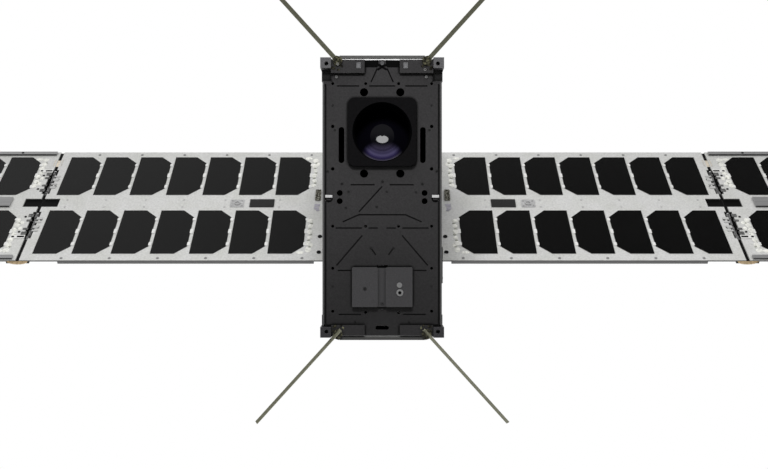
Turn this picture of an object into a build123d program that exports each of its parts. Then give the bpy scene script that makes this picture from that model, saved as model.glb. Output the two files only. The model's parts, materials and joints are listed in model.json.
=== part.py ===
from build123d import *
import os
from math import asin, cos, radians, sin

# A six-unit nanosatellite with two sun-tracking wings of two hinged panels each.
# Millimetres.  +X is right and +Y is away from the camera end, +Z is up.
# The origin is the centre of the rear rail ends: the body lies at y = -body_length to 0.

# ---------------------------------------------------------------- body sizes
body_width = 100.0
body_height = 226.3
body_length = 366.0
rail_side = 8.5
front_hole_radius = 1.7     # screw holes in the camera end's rail ends
rear_hole_radius = 2.1      # larger screw holes in the rear rail ends
rail_hole_depth = 14.0
rail_hole_inset = 5.0       # from the rail's two outer faces to the hole's centre

end_step = 6.5              # how far the rails stand out past both end plates
front_plate_thickness = 5.0
rear_plate_thickness = 3.0
end_plate_side_step = 1.4   # how far the end plates' long edges lie inside the rails' faces
front_plate_shoulder = 18.0 # below the body's top, where the front plate widens to its full width
plate_chamfer = 1.2
side_panel_recess = 4.0     # how far the side panels lie inside the rails' outer faces
side_panel_thickness = 2.0
pocket_depth = 0.8          # shallow fields in the side panels and the rear plate
pocket_corner = 3.0
side_pocket_rows = 3
side_pocket_margin = 12.0   # from a side panel's edges to its fields, and between fields
side_pocket_front = 70.0    # solid length of each side panel at either end
rear_pocket_rows = 3
rear_pocket_margin = 9.0
cover_thickness = 3.0       # top and bottom covers, flush with the rails
board_thickness = 1.6
cover_board_thickness = 2.5
cover_board_width = 82.0
cover_tongue_width = 69.4   # the board's narrow end that reaches over the front plate
cover_tongue_length = 12.0
cover_board_margin = 6.0    # bare cover left at the board's ends

# ---------------------------------------------------------------- camera
lens_drop = 60.05           # lens centre below the body's top
hood_side = 55.2
hood_corner_radius = 5.4
hood_depth = 5.5            # how far the hood stands out of the front plate
hood_mouth_radius = 24.0
hood_throat_radius = 22.6
hood_sleeve_length = 26.0   # how far the hood's sleeve reaches behind the plate's face
hood_sleeve_wall = 1.2
barrel_radius = 29.0
barrel_length = 60.0
barrel_back_wall = 4.0
glass_gap = 0.3             # between the lens and the throat's narrow end
glass_edge_thickness = 4.0
glass_curve_radius = 42.0

# ---------------------------------------------------------------- front plate details
# Round through holes on both halves: x from the middle, the line z is measured from, z, radius.
plate_holes = [
    (14.75, "lens", 32.7, 3.35),
    (14.75, "lens", -33.4, 3.35),
    (40.2, "top", -20.35, 1.2),
    (13.4, "top", -20.35, 1.2),
    (40.2, "lens", 4.9, 1.4),
    (40.2, "lens", -29.6, 1.4),
    (34.5, "middle", 3.9, 2.4),
    (34.5, "middle", -2.7, 2.4),
    (43.3, "middle", -0.6, 3.2),
    (40.2, "middle", -23.1, 1.2),
    (13.4, "middle", -23.1, 1.2),
    (40.2, "bottom", 55.85, 1.2),
    (40.2, "bottom", 20.95, 1.2),
    (13.3, "bottom", 19.85, 1.2),
]
# Shallow grooves on both halves: the line z is measured from, x0, z0, x1, z1.
plate_grooves = [
    ("top", 18.8, -22.25, 36.8, -22.25),
    ("top", 0.0, -22.25, 10.6, -22.25),
    ("top", 4.0, -8.0, 9.0, -19.05),
    ("middle", 6.1, 10.6, 25.6, 10.6),
    ("middle", 7.6, -13.8, 19.0, -13.8),
    ("middle", 19.0, -13.8, 32.2, -19.6),
    ("middle", 16.4, -24.6, 37.9, -24.6),
    ("middle", 3.5, -24.6, 11.1, -24.6),
    ("middle", 16.2, -30.6, 37.1, -55.0),
    ("middle", 5.1, -46.5, 8.9, -41.2),
    ("bottom", 25.0, 54.05, 36.1, 54.05),
    ("bottom", 17.1, 18.35, 35.4, 18.35),
    ("bottom", 15.5, 9.7, 47.0, 9.7),
]
# Shallow grooves on one half only, with the same columns.
single_grooves = [
    ("middle", 0.0, 9.3, -18.9, -11.4),
    ("middle", -7.6, -13.8, 7.6, -13.8),
]
groove_width = 1.1
groove_depth = 0.8
rim_groove_inset = 2.6      # from the plate's long edge to the middle of the dark groove beside it
rim_groove_width = 1.4
slot_offset = 33.1          # long upright slots beside the hood
slot_drop = 10.2            # slots' middle below the lens
slot_length = 29.3
slot_width = 4.6
top_recess_half_width = 13.6
top_recess_drop = 1.4       # below the body's top
top_recess_height = 5.0
top_recess_depth = 3.5
top_tab_half_width = 3.0
top_tab_height = 3.1
bottom_slot_length = 11.0
bottom_slot_width = 3.2
bottom_slot_rise = 7.5      # above the body's bottom
bracket_step = 4.0          # how far the upper brackets lie behind the front plate's face
bracket_length = 24.0
bracket_side_step = 0.7     # how far the brackets lie inside the rails' side faces
lower_bracket_height = 9.0
side_hatch_low = -69.7      # flat cover on the right side panel, below the body's middle
side_hatch_high = -40.0
side_hatch_length = 90.0
side_hatch_step = 0.5       # how far it lies inside the rails' side faces

# ---------------------------------------------------------------- sensors and antennas
sensor_depth = 6.0
sensor_rise = 24.75         # above the body's bottom
sensor_height = 32.0
# Sensor boxes: name, low x, high x.
sensor_boxes = [
    ("left_sensor_box", -24.3, -3.6),
    ("right_sensor_box", 3.0, 24.5),
]
sensor_fillet = 1.0
bridge_depth = 3.2
bridge_step = 0.8           # how far the bridge ends below the sensor boxes' tops
sensor_slot_length = 9.4    # cable slot in the front plate above the bridge
sensor_slot_width = 1.6
sensor_slot_rise = 0.9      # slot's middle above the sensor boxes' tops

antenna_box_length = 27.0
antenna_box_inner_x = 14.3
antenna_box_edge_step = 1.6  # from the cover's face down to the box's outer side
blade_angle = 42.2           # away from the body's long axis
blade_length = 108.0
blade_width = 3.6
blade_thickness = 0.6
blade_root_drop = 11.15      # from the body's top or bottom
blade_gap = 0.2              # between the blade and its clamp
hub_radius = 3.8
hub_depth = 1.8
hub_x = 36.0
hub_drop = 2.7               # hub centre inside the body's top or bottom
# The upper and the lower pair: side in z, box height, box depth, blade's middle out from the front
# plate, root x, length left off at the root, turn of the blade about its own length.
antenna_pairs = [
    ("upper", 1, 10.6, 4.6, 2.3, 28.2, 0.0, 0.0),
    ("lower", -1, 8.2, 2.5, 4.8, 29.2, 6.5, 52.0),
]

# ---------------------------------------------------------------- wing drive
drive_setback = 20.0        # drive axis ahead of the rear rail ends
drive_tilt = 37.9           # rise of the wing's cross direction above the level
shaft_radius = 4.0
shaft_inner_reach = 34.0    # |x| where the shaft starts inside the body
running_gap = 0.05          # radial clearance at turning fits
fixed_gap = 0.02            # radial clearance at pressed pins
bearing_sleeve_radius = 8.0
bearing_flange_radius = 10.0
bearing_flange_thickness = 4.5
bearing_fit = 0.1

yoke_gap = 1.5              # between the rails' faces and the yoke
yoke_width = 8.5
yoke_half_length = 72.0
yoke_bottom = -4.2
yoke_top = 0.8

# ---------------------------------------------------------------- wing panels
# Local wing frame: u outward along the wing, v across it, n out of the cells' side,
# all measured from the point where the drive axis crosses the body's middle plane.
face_height = 7.5           # panel's front face above the drive axis
cell_width = 37.7
cell_length = 76.4
cell_crop = 12.4
cell_thickness = 0.4
cell_pitch = 41.5
cell_columns = 7
cell_row_gap = 29.9
edge_margin = 11.15         # from a cell row to the panel's long edge
root_margin = 22.9          # from the inner panel's root edge to its first cell
slit_margin = 11.4          # from the inner panel's last cell to its hinge edge
outer_first_margin = 18.5   # from the outer panel's hinge edge to its first cell
stowed_gap = 6.0            # how much shorter the outer panel is, to clear the yoke when folded
hinge_slit = 4.0            # between the inner and outer panels
root_edge = 61.5            # u of the inner panel's root edge
root_axis_step = 1.5        # from the root hinge axis to the panel's root edge
hinge_drop = 4.6            # hinge axes below the panel's front face
pin_radius = 1.0
knuckle_radius = 1.9
leaf_thickness = 1.5
leaf_length = 10.5
leaf_step = 2.2             # from the hinge axis to the leaf's flat part
hinge_middle = 41.0         # |v| of each hinge's middle
hinge_length = 48.0
root_middle_knuckle = 24.0
root_outer_knuckle = 11.5
slit_middle_knuckle = 10.0  # short eyes leave room for the hinge springs
slit_outer_knuckle = 8.0
hinge_end_gap = 0.5         # from a hinge's ends to the beams' lips
hinge_notch = 2.5           # how far the panel edges are cut back at the hinges
beam_near = 2.6             # hinge axis to the edge beam's full-height part
beam_far = 12.0
beam_height = 2.5
lip_thickness = 0.7
lip_gap = 0.3               # between the two beams' lips
centre_notch_half_height = 7.7
centre_notch_half_length = 19.6
centre_pad_half_height = 10.0
centre_pad_reach = 22.0

root_hole_margin = 6.2      # from the root edge
root_hole_radius = 2.4
root_hole_offsets = [62.0, 89.0]

# Stiffening bars.  Margins run from the panel's root or hinge edge and from its far edge.
rear_bar_height = 3.0
rear_bar_width = 6.0
rear_bar_near_margin = 11.0
rear_bar_far_margin = 40.0
rear_mid_bar_width = 17.0
rear_mid_near_margin = 18.5
rear_mid_far_margin = 22.5
front_bar_height = 2.2
front_bar_width = 5.5
front_bar_inset = 1.5
front_bar_margin = 3.5
front_mid_bar_width = 17.0
front_mid_near_margin = 31.6
front_mid_far_margin = 11.5

cover_cell_gap = 2.0
cover_cell_rows = 4
cover_cell_row_gap = 3.0

# ---------------------------------------------------------------- inner mass
block_width = 78.0
block_height = 104.0
block_length = 250.0
block_rear_gap = 34.0       # keeps the block ahead of the drive bearings

# ---------------------------------------------------------------- worked-out places
half_width = body_width / 2
half_height = body_height / 2
rail_inner_x = half_width - rail_side
rail_inner_z = half_height - rail_side
front_face_y = -body_length + end_step
front_back_y = front_face_y + front_plate_thickness
rear_face_y = -end_step
rear_back_y = rear_face_y - rear_plate_thickness
plate_half_width = half_width - end_plate_side_step
lens_height = half_height - lens_drop
plate_lines = {"top": half_height, "lens": lens_height, "middle": 0.0, "bottom": -half_height}
sensor_bottom = -half_height + sensor_rise
sensor_top = sensor_bottom + sensor_height
side_outer_x = half_width - side_panel_recess
side_inner_x = side_outer_x - side_panel_thickness
drive_y = -drive_setback
panel_back = face_height - board_thickness
hinge_n = face_height - hinge_drop
root_axis_u = root_edge - root_axis_step
cell_run = (cell_columns - 1) * cell_pitch + cell_width
panel_length = root_margin + cell_run + slit_margin
inner_end = root_edge + panel_length
mid_axis_u = inner_end + hinge_slit / 2
outer_start = inner_end + hinge_slit
outer_end = outer_start + panel_length - stowed_gap
half_panel = cell_row_gap / 2 + cell_length + edge_margin
yoke_inner_u = half_width + yoke_gap
yoke_outer_u = yoke_inner_u + yoke_width
glass_radius = hood_throat_radius - glass_gap
cut_over = 1.0              # how far cutting bodies reach past the faces they cut


def box(x0, x1, y0, y1, z0, z1):
    """A box between two limits on each axis."""
    middle = ((x0 + x1) / 2, (y0 + y1) / 2, (z0 + z1) / 2)
    return Pos(*middle) * Box(abs(x1 - x0), abs(y1 - y0), abs(z1 - z0))


def rod_x(radius, x0, x1, y, z):
    """A cylinder along X."""
    return Pos((x0 + x1) / 2, y, z) * Rot(0, 90, 0) * Cylinder(radius, abs(x1 - x0))


def rod_y(radius, x, y0, y1, z):
    """A cylinder along Y."""
    return Pos(x, (y0 + y1) / 2, z) * Rot(90, 0, 0) * Cylinder(radius, abs(y1 - y0))


def write(name, shape):
    """Store one sub-part in the part's own frame."""
    export_step(shape, f"parts/{name}.step")


def group(shapes):
    """Solids of one sub-part that do not touch each other."""
    return Compound(list(shapes))


# ---------------------------------------------------------------- body
def corner_rail(side_x, side_z):
    """A square rail over the body's whole length with a screw hole in both ends."""
    middle_x = side_x * (half_width - rail_side / 2)
    middle_z = side_z * (half_height - rail_side / 2)
    rail = box(
        middle_x - rail_side / 2,
        middle_x + rail_side / 2,
        -body_length,
        0,
        middle_z - rail_side / 2,
        middle_z + rail_side / 2,
    )
    hole_x = side_x * (half_width - rail_hole_inset)
    hole_z = side_z * (half_height - rail_hole_inset)
    front_hole = rod_y(front_hole_radius, hole_x, -body_length, -body_length + rail_hole_depth, hole_z)
    rear_hole = rod_y(rear_hole_radius, hole_x, -rail_hole_depth, 0, hole_z)
    return rail - front_hole - rear_hole


def end_plate_blank(outer_y, inner_y, wide_top_z):
    """An end plate, as wide as the body between the rails and narrow between their ends."""
    wide = box(-plate_half_width, plate_half_width, outer_y, inner_y, -rail_inner_z, wide_top_z)
    tall = box(-rail_inner_x, rail_inner_x, outer_y, inner_y, -half_height, half_height)
    return wide + tall


def groove(x0, z0, x1, z1, width, depth):
    """A shallow straight groove cut into the front plate's face."""
    start = Vector(x0, front_face_y, z0)
    finish = Vector(x1, front_face_y, z1)
    run = finish - start
    middle = start + run * 0.5
    turn = run.get_signed_angle(Vector(1, 0, 0), Vector(0, -1, 0))
    return Pos(middle.X, middle.Y, middle.Z) * Rot(0, turn, 0) * Box(run.length, 2 * depth, width)


def table_groove(side, row):
    """One groove of the tables, on the chosen half of the plate."""
    line, x0, z0, x1, z1 = row
    base = plate_lines[line]
    return groove(side * x0, base + z0, side * x1, base + z1, groove_width, groove_depth)


def plate_slot(x, z, length, width, turn):
    """A through slot in the front plate; turn is 90 for an upright one."""
    slot = extrude(SlotOverall(length, width, rotation=turn), front_plate_thickness + 2 * cut_over)
    return Pos(x, front_back_y + cut_over, z) * Rot(90, 0, 0) * slot


def top_recess():
    """The sunk field between the two upper antenna boxes, with a small tab left in it."""
    high = half_height - top_recess_drop
    low = high - top_recess_height
    floor_y = front_face_y + top_recess_depth
    outer_y = front_face_y - cut_over
    field = box(-top_recess_half_width, top_recess_half_width, outer_y, floor_y, low, high)
    tab = box(-top_tab_half_width, top_tab_half_width, outer_y, floor_y, high - top_tab_height, high)
    return field - tab


def front_plate():
    """The camera end's plate with its holes, slots, grooves and sunk field."""
    plate = end_plate_blank(front_face_y, front_back_y, half_height - front_plate_shoulder)
    rim = plate.faces().sort_by(Axis.Y)[0].outer_wire().edges()
    plate = chamfer(rim, plate_chamfer)
    near_y = front_face_y - cut_over
    far_y = front_back_y + cut_over
    cutters = [rod_y(hood_mouth_radius + hood_sleeve_wall, 0, near_y, far_y, lens_height), top_recess()]
    bottom_slot_z = -half_height + bottom_slot_rise
    cutters.append(plate_slot(0, bottom_slot_z, bottom_slot_length, bottom_slot_width, 0))
    cutters.append(plate_slot(0, sensor_top + sensor_slot_rise, sensor_slot_length, sensor_slot_width, 0))
    rim_x = plate_half_width - rim_groove_inset
    rim_low = -rail_inner_z
    rim_high = half_height - front_plate_shoulder - rim_groove_inset
    for side in (-1, 1):
        for x, line, z, radius in plate_holes:
            cutters.append(rod_y(radius, side * x, near_y, far_y, plate_lines[line] + z))
        for row in plate_grooves:
            cutters.append(table_groove(side, row))
        cutters.append(groove(side * rim_x, rim_low, side * rim_x, rim_high, rim_groove_width, groove_depth))
        cutters.append(plate_slot(side * slot_offset, lens_height - slot_drop, slot_length, slot_width, 90))
    for row in single_grooves:
        cutters.append(table_groove(1, row))
    return plate - cutters


def rear_plate():
    """The far end's plate with shallow fields between its ribs."""
    plate = end_plate_blank(rear_face_y, rear_back_y, rail_inner_z)
    rim = plate.faces().sort_by(Axis.Y)[-1].outer_wire().edges()
    plate = chamfer(rim, plate_chamfer)
    field_width = rail_inner_x - 1.5 * rear_pocket_margin
    row_pitch = (2 * rail_inner_z - rear_pocket_margin) / rear_pocket_rows
    field_height = row_pitch - rear_pocket_margin
    for row in range(rear_pocket_rows):
        middle_z = -rail_inner_z + rear_pocket_margin + field_height / 2 + row * row_pitch
        for side in (-1, 1):
            middle_x = side * (field_width + rear_pocket_margin) / 2
            outline = RectangleRounded(field_width, field_height, pocket_corner)
            cutter = extrude(outline, pocket_depth + cut_over)
            plate = plate - Pos(middle_x, rear_face_y + cut_over, middle_z) * Rot(90, 0, 0) * cutter
    return plate


def side_panel(side):
    """The recessed long side with shallow fields and the drive bearing's hole."""
    panel = box(
        side * side_inner_x,
        side * side_outer_x,
        front_back_y,
        rear_back_y,
        -rail_inner_z,
        rail_inner_z,
    )
    hole_outer_x = side_outer_x + cut_over
    hole_inner_x = side_inner_x - cut_over
    panel = panel - rod_x(bearing_sleeve_radius + bearing_fit, side * hole_inner_x, side * hole_outer_x, drive_y, 0)
    first_y = front_back_y + side_pocket_front
    run = rear_back_y - side_pocket_front - first_y
    height = 2 * rail_inner_z - 2 * side_pocket_margin
    pitch = (run + side_pocket_margin) / side_pocket_rows
    for row in range(side_pocket_rows):
        length = pitch - side_pocket_margin
        middle_y = first_y + length / 2 + row * pitch
        cutter = extrude(RectangleRounded(height, length, pocket_corner), pocket_depth + cut_over)
        place = Pos(side * (side_outer_x - pocket_depth), middle_y, 0) * Rot(0, side * 90, 0)
        panel = panel - place * cutter
    return panel


def cover(side):
    """The top or bottom cover between two rails."""
    return box(
        -rail_inner_x,
        rail_inner_x,
        front_back_y,
        rear_back_y,
        side * (half_height - cover_thickness),
        side * half_height,
    )


def cover_board(side):
    """The solar board on a cover, with a narrow tongue that shows at the camera end."""
    low = side * half_height
    high = side * (half_height + cover_board_thickness)
    half_board = cover_board_width / 2
    half_tongue = cover_tongue_width / 2
    board_front = front_back_y + cover_board_margin
    board = box(-half_board, half_board, board_front, rear_back_y - cover_board_margin, low, high)
    tongue = box(-half_tongue, half_tongue, front_face_y, board_front + cover_tongue_length, low, high)
    return board + tongue


def cover_cells(side):
    """The solar cells on a cover board."""
    board_front = front_back_y + cover_board_margin
    board_rear = rear_back_y - cover_board_margin
    rows_length = cover_cell_rows * cell_length + (cover_cell_rows - 1) * cover_cell_row_gap
    first_y = (board_front + board_rear - rows_length) / 2
    low = side * (half_height + cover_board_thickness)
    high = low + side * cell_thickness
    cells = []
    for row in range(cover_cell_rows):
        y0 = first_y + row * (cell_length + cover_cell_row_gap)
        for column in (-1, 1):
            x0 = column * cover_cell_gap / 2
            x1 = x0 + column * cell_width
            cells.append(box(x0, x1, y0, y0 + cell_length, low, high))
    return group(cells)


def upper_brackets():
    """The two blocks that close the corners beside the front plate's narrow top."""
    near_y = front_face_y + bracket_step
    outer_x = half_width - bracket_side_step
    high = rail_inner_z
    low = half_height - front_plate_shoulder
    blocks = []
    for side in (-1, 1):
        front = box(side * rail_inner_x, side * outer_x, near_y, front_back_y, low, high)
        back = box(side * side_outer_x, side * outer_x, front_back_y, near_y + bracket_length, low, high)
        blocks.append(front + back)
    return group(blocks)


def lower_brackets():
    """The two thin blocks on the side panels beside the front plate's lower corners."""
    outer_x = half_width - bracket_side_step
    low = -rail_inner_z
    high = low + lower_bracket_height
    end_y = front_back_y + bracket_length
    return group(box(s * side_outer_x, s * outer_x, front_back_y, end_y, low, high) for s in (-1, 1))


def side_hatch():
    """The flat cover on the right side panel."""
    outer_x = half_width - side_hatch_step
    end_y = front_back_y + side_hatch_length
    return box(side_outer_x, outer_x, front_back_y, end_y, side_hatch_low, side_hatch_high)


# ---------------------------------------------------------------- camera
def lens_hood():
    """A rounded square shade with a tapered round throat through the front plate."""
    shade_outline = Pos(0, lens_height) * RectangleRounded(hood_side, hood_side, hood_corner_radius)
    face_place = Pos(0, front_face_y, 0) * Rot(90, 0, 0)
    shade = face_place * extrude(shade_outline, hood_depth)
    sleeve_back = front_face_y + hood_sleeve_length
    sleeve_front = front_face_y - hood_depth / 2
    sleeve = rod_y(hood_mouth_radius + hood_sleeve_wall - bearing_fit, 0, sleeve_front, sleeve_back, lens_height)
    throat_length = hood_depth + hood_sleeve_length
    throat_middle = (front_face_y - hood_depth + sleeve_back) / 2
    throat = Cone(hood_throat_radius, hood_mouth_radius, throat_length)
    return shade + sleeve - Pos(0, throat_middle, lens_height) * Rot(90, 0, 0) * throat


def lens_barrel():
    """The lens tube behind the front plate, closed at its far end."""
    far_y = front_back_y + barrel_length
    tube = rod_y(barrel_radius, 0, front_back_y, far_y, lens_height)
    bore_radius = hood_mouth_radius + hood_sleeve_wall + bearing_fit
    bore = rod_y(bore_radius, 0, front_back_y, far_y - barrel_back_wall, lens_height)
    return tube - bore


def lens_glass():
    """The front lens: a disc with a domed face, held at the sleeve's inner end."""
    rim_y = front_face_y + hood_sleeve_length
    back_y = rim_y + glass_edge_thickness
    half_turn = asin(glass_radius / glass_curve_radius) / 2
    crown = glass_curve_radius * (1 - cos(2 * half_turn))
    top_y = rim_y - crown
    middle = (glass_curve_radius * sin(half_turn), top_y + glass_curve_radius * (1 - cos(half_turn)))
    edge = Polyline((0, top_y), (0, back_y), (glass_radius, back_y), (glass_radius, rim_y))
    dome = ThreePointArc((glass_radius, rim_y), middle, (0, top_y))
    return Pos(0, 0, lens_height) * revolve(make_face(edge + dome), Axis.Y)


def glass_ring():
    """The retaining ring that carries the lens in the barrel."""
    front_y = front_face_y + hood_sleeve_length
    ring = rod_y(hood_mouth_radius + hood_sleeve_wall, 0, front_y, front_y + glass_edge_thickness, lens_height)
    back_y = front_y + glass_edge_thickness
    hole = rod_y(glass_radius + bearing_fit, 0, front_y - cut_over, back_y + cut_over, lens_height)
    return ring - hole


# ---------------------------------------------------------------- sensors, antennas, inner mass
def sensor_box(x0, x1):
    """One of the two small optical sensors' housings."""
    housing = box(x0, x1, front_face_y - sensor_depth, front_face_y, sensor_bottom, sensor_top)
    return fillet(housing.edges().filter_by(Axis.Y), sensor_fillet)


def sensor_bridge():
    """The low plate that joins the two sensor housings."""
    left_x = sensor_boxes[0][2]
    right_x = sensor_boxes[1][1]
    return box(left_x, right_x, front_face_y - bridge_depth, front_face_y, sensor_bottom, sensor_top - bridge_step)


def antenna_box(side_x, side_z, height, depth):
    """A tape antenna's flat housing at one corner of the front plate."""
    outer_z = half_height - antenna_box_edge_step
    return box(
        side_x * antenna_box_inner_x,
        side_x * (antenna_box_inner_x + antenna_box_length),
        front_face_y - depth,
        front_face_y,
        side_z * (outer_z - height),
        side_z * outer_z,
    )


def antenna_blade(side_x, side_z, blade_step, root_x, cut_off, turn, grow=0.0):
    """A tape blade that leaves its housing at a slant, outward from the body."""
    start = cut_off - grow
    length = blade_length - start
    blade = Box(blade_width + 2 * grow, blade_thickness + 2 * grow, length)
    blade = Pos(0, 0, start + length / 2) * blade
    place = Pos(side_x * root_x, front_face_y - blade_step, side_z * (half_height - blade_root_drop))
    lean = side_x * blade_angle
    if side_z < 0:
        lean = 180 - lean
    return place * Rot(0, lean, 0) * Rot(0, 0, turn) * blade


def antenna_hub(side_x, side_z, depth):
    """The round feed at an antenna's root, on its box's face."""
    back_y = front_face_y - depth
    hub_z = side_z * (half_height - hub_drop)
    return rod_y(hub_radius, side_x * hub_x, back_y - hub_depth, back_y, hub_z)


def avionics_block():
    """The batteries and electronics as one plain block on the bottom cover."""
    return box(
        -block_width / 2,
        block_width / 2,
        rear_back_y - block_rear_gap - block_length,
        rear_back_y - block_rear_gap,
        -half_height + cover_thickness,
        -half_height + cover_thickness + block_height,
    )


# ---------------------------------------------------------------- wing drive
def drive_bearing(side):
    """The flanged bearing in a side panel."""
    flange = rod_x(
        bearing_flange_radius,
        side * side_outer_x,
        side * (side_outer_x + bearing_flange_thickness),
        drive_y,
        0,
    )
    sleeve = rod_x(bearing_sleeve_radius, side * shaft_inner_reach, side * side_outer_x, drive_y, 0)
    bore_inner_x = shaft_inner_reach - cut_over
    bore_outer_x = side_outer_x + bearing_flange_thickness + cut_over
    bore = rod_x(shaft_radius + running_gap, side * bore_inner_x, side * bore_outer_x, drive_y, 0)
    return flange + sleeve - bore


# ---------------------------------------------------------------- wing pieces in the local frame
wing_plane = Plane(
    origin=(0, drive_y, 0),
    x_dir=(1, 0, 0),
    z_dir=(0, -sin(radians(drive_tilt)), cos(radians(drive_tilt))),
)


def rod_v(radius, u, v0, v1, n):
    """A cylinder across the wing."""
    return rod_y(radius, u, v0, v1, n)


def outer_knuckle_spans(length):
    """The v spans of the two end knuckles of each hinge."""
    spans = []
    for middle in (-hinge_middle, hinge_middle):
        low = middle - hinge_length / 2
        high = middle + hinge_length / 2
        spans.append((low, low + length))
        spans.append((high - length, high))
    return spans


def middle_knuckle_spans(length):
    """The v spans of the middle knuckle of each hinge."""
    return [(middle - length / 2, middle + length / 2) for middle in (-hinge_middle, hinge_middle)]


def knuckle(u, v0, v1, side_u, fit):
    """A hinge eye on its web to the leaf above it; side_u says on which side the leaf is."""
    eye = rod_v(knuckle_radius, u, v0, v1, hinge_n)
    web = box(u, u + side_u * leaf_step, v0, v1, hinge_n, panel_back)
    return eye + web - rod_v(pin_radius + fit, u, v0 - cut_over, v1 + cut_over, hinge_n)


def hinge_pins(u):
    """The two hinge pins of one hinge line."""
    half = hinge_length / 2
    return group(rod_v(pin_radius, u, m - half, m + half, hinge_n) for m in (-hinge_middle, hinge_middle))


def yoke():
    """The drive shaft with the cross beam that carries the root hinges."""
    shaft = rod_x(shaft_radius, shaft_inner_reach, yoke_inner_u + cut_over, 0, 0)
    beam = box(yoke_inner_u, yoke_outer_u, -yoke_half_length, yoke_half_length, yoke_bottom, yoke_top)
    whole = shaft + beam
    for v0, v1 in outer_knuckle_spans(root_outer_knuckle):
        eye = rod_v(knuckle_radius, root_axis_u, v0, v1, hinge_n)
        lug = box(root_axis_u - knuckle_radius, root_axis_u + knuckle_radius, v0, v1, yoke_bottom, hinge_n)
        bore = rod_v(pin_radius + fixed_gap, root_axis_u, v0 - cut_over, v1 + cut_over, hinge_n)
        whole = whole + eye + lug - bore
    return whole


def root_leaves():
    """The root hinges' leaves under the inner panel's edge."""
    leaves = []
    for v0, v1 in middle_knuckle_spans(root_middle_knuckle):
        flat = box(
            root_axis_u + leaf_step,
            root_axis_u + leaf_step + leaf_length,
            v0,
            v1,
            panel_back - leaf_thickness,
            panel_back,
        )
        leaves.append(flat + knuckle(root_axis_u, v0, v1, 1, running_gap))
    return group(leaves)


def edge_beam(side_u, knuckle_spans, fit):
    """The black beam along a panel's hinge edge, with its lip, centre pad and hinge eyes."""
    axis = mid_axis_u
    edge = axis + side_u * beam_near
    beam = box(edge, axis + side_u * beam_far, -half_panel, half_panel, panel_back - beam_height, panel_back)
    lip_end = axis + side_u * lip_gap / 2
    lip = box(edge, lip_end, -half_panel, half_panel, panel_back - lip_thickness, panel_back)
    for middle in (-hinge_middle, hinge_middle):
        half = hinge_length / 2 + hinge_end_gap
        lip = lip - box(axis - beam_near, axis + beam_near, middle - half, middle + half, 0, face_height)
    pad = box(
        edge,
        axis + side_u * centre_pad_reach,
        -centre_pad_half_height,
        centre_pad_half_height,
        panel_back - lip_thickness,
        panel_back,
    )
    whole = beam + lip + pad
    for v0, v1 in knuckle_spans:
        eye = rod_v(knuckle_radius, axis, v0, v1, hinge_n)
        web = box(axis, edge, v0, v1, panel_back - beam_height, panel_back - lip_thickness)
        whole = whole + eye + web - rod_v(pin_radius + fit, axis, v0 - cut_over, v1 + cut_over, hinge_n)
    return whole


def panel(start_u, end_u, hinge_side):
    """A panel's board; hinge_side is the end that faces the slit between the panels."""
    board = box(start_u, end_u, -half_panel, half_panel, panel_back, face_height)
    edge = end_u if hinge_side > 0 else start_u
    beyond = edge + hinge_side * cut_over
    notch_end = edge - hinge_side * hinge_notch
    for middle in (-hinge_middle, hinge_middle):
        half = hinge_length / 2
        board = board - box(notch_end, beyond, middle - half, middle + half, 0, face_height + cut_over)
    centre_end = mid_axis_u - hinge_side * centre_notch_half_length
    half = centre_notch_half_height
    return board - box(centre_end, beyond, -half, half, 0, face_height + cut_over)


def inner_panel():
    """The inner board with its root holes."""
    board = panel(root_edge, inner_end, 1)
    hole_u = root_edge + root_hole_margin
    for offset in root_hole_offsets:
        for side in (-1, 1):
            hole = Cylinder(root_hole_radius, 2 * (board_thickness + cut_over))
            board = board - Pos(hole_u, side * offset, panel_back) * hole
    return board


def cell(u, v):
    """One solar cell with its two inboard corners cropped."""
    outline = Polyline(
        (u + cell_crop, v),
        (u + cell_width, v),
        (u + cell_width, v + cell_length),
        (u + cell_crop, v + cell_length),
        (u, v + cell_length - cell_crop),
        (u, v + cell_crop),
        close=True,
    )
    return Pos(0, 0, face_height) * extrude(make_face(outline), cell_thickness)


def panel_cells(first_u):
    """Two rows of cells."""
    rows = (cell_row_gap / 2, -cell_row_gap / 2 - cell_length)
    return group(cell(first_u + i * cell_pitch, v) for i in range(cell_columns) for v in rows)


def rear_bars():
    """The stiffeners behind the inner panel."""
    low = panel_back - rear_bar_height
    start = root_edge + rear_bar_near_margin
    end = inner_end - rear_bar_far_margin
    bars = []
    for side in (-1, 1):
        outer_v = side * half_panel
        bars.append(box(start, end, outer_v - side * rear_bar_width, outer_v, low, panel_back))
    half = rear_mid_bar_width / 2
    mid_start = root_edge + rear_mid_near_margin
    mid_end = inner_end - rear_mid_far_margin
    bars.append(box(mid_start, mid_end, -half, half, low, panel_back))
    return group(bars)


def front_bars():
    """The stiffeners on the outer panel's cell side."""
    high = face_height + front_bar_height
    start = outer_start + front_bar_margin
    end = outer_end - front_bar_margin
    bars = []
    for side in (-1, 1):
        outer_v = side * (half_panel - front_bar_inset)
        bars.append(box(start, end, outer_v - side * front_bar_width, outer_v, face_height, high))
    half = front_mid_bar_width / 2
    mid_start = outer_start + front_mid_near_margin
    mid_end = outer_end - front_mid_far_margin
    bars.append(box(mid_start, mid_end, -half, half, face_height, high))
    return group(bars)


inner_first_cell = root_edge + root_margin
outer_first_cell = outer_start + outer_first_margin
wing_pieces = {
    "yoke": yoke(),
    "root_pins": hinge_pins(root_axis_u),
    "root_leaves": root_leaves(),
    "inner_panel": inner_panel(),
    "inner_cells": panel_cells(inner_first_cell),
    "inner_bars": rear_bars(),
    "inner_edge_beam": edge_beam(-1, middle_knuckle_spans(slit_middle_knuckle), fixed_gap),
    "mid_pins": hinge_pins(mid_axis_u),
    "outer_edge_beam": edge_beam(1, outer_knuckle_spans(slit_outer_knuckle), running_gap),
    "outer_panel": panel(outer_start, outer_end, -1),
    "outer_cells": panel_cells(outer_first_cell),
    "outer_bars": front_bars(),
}

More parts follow.
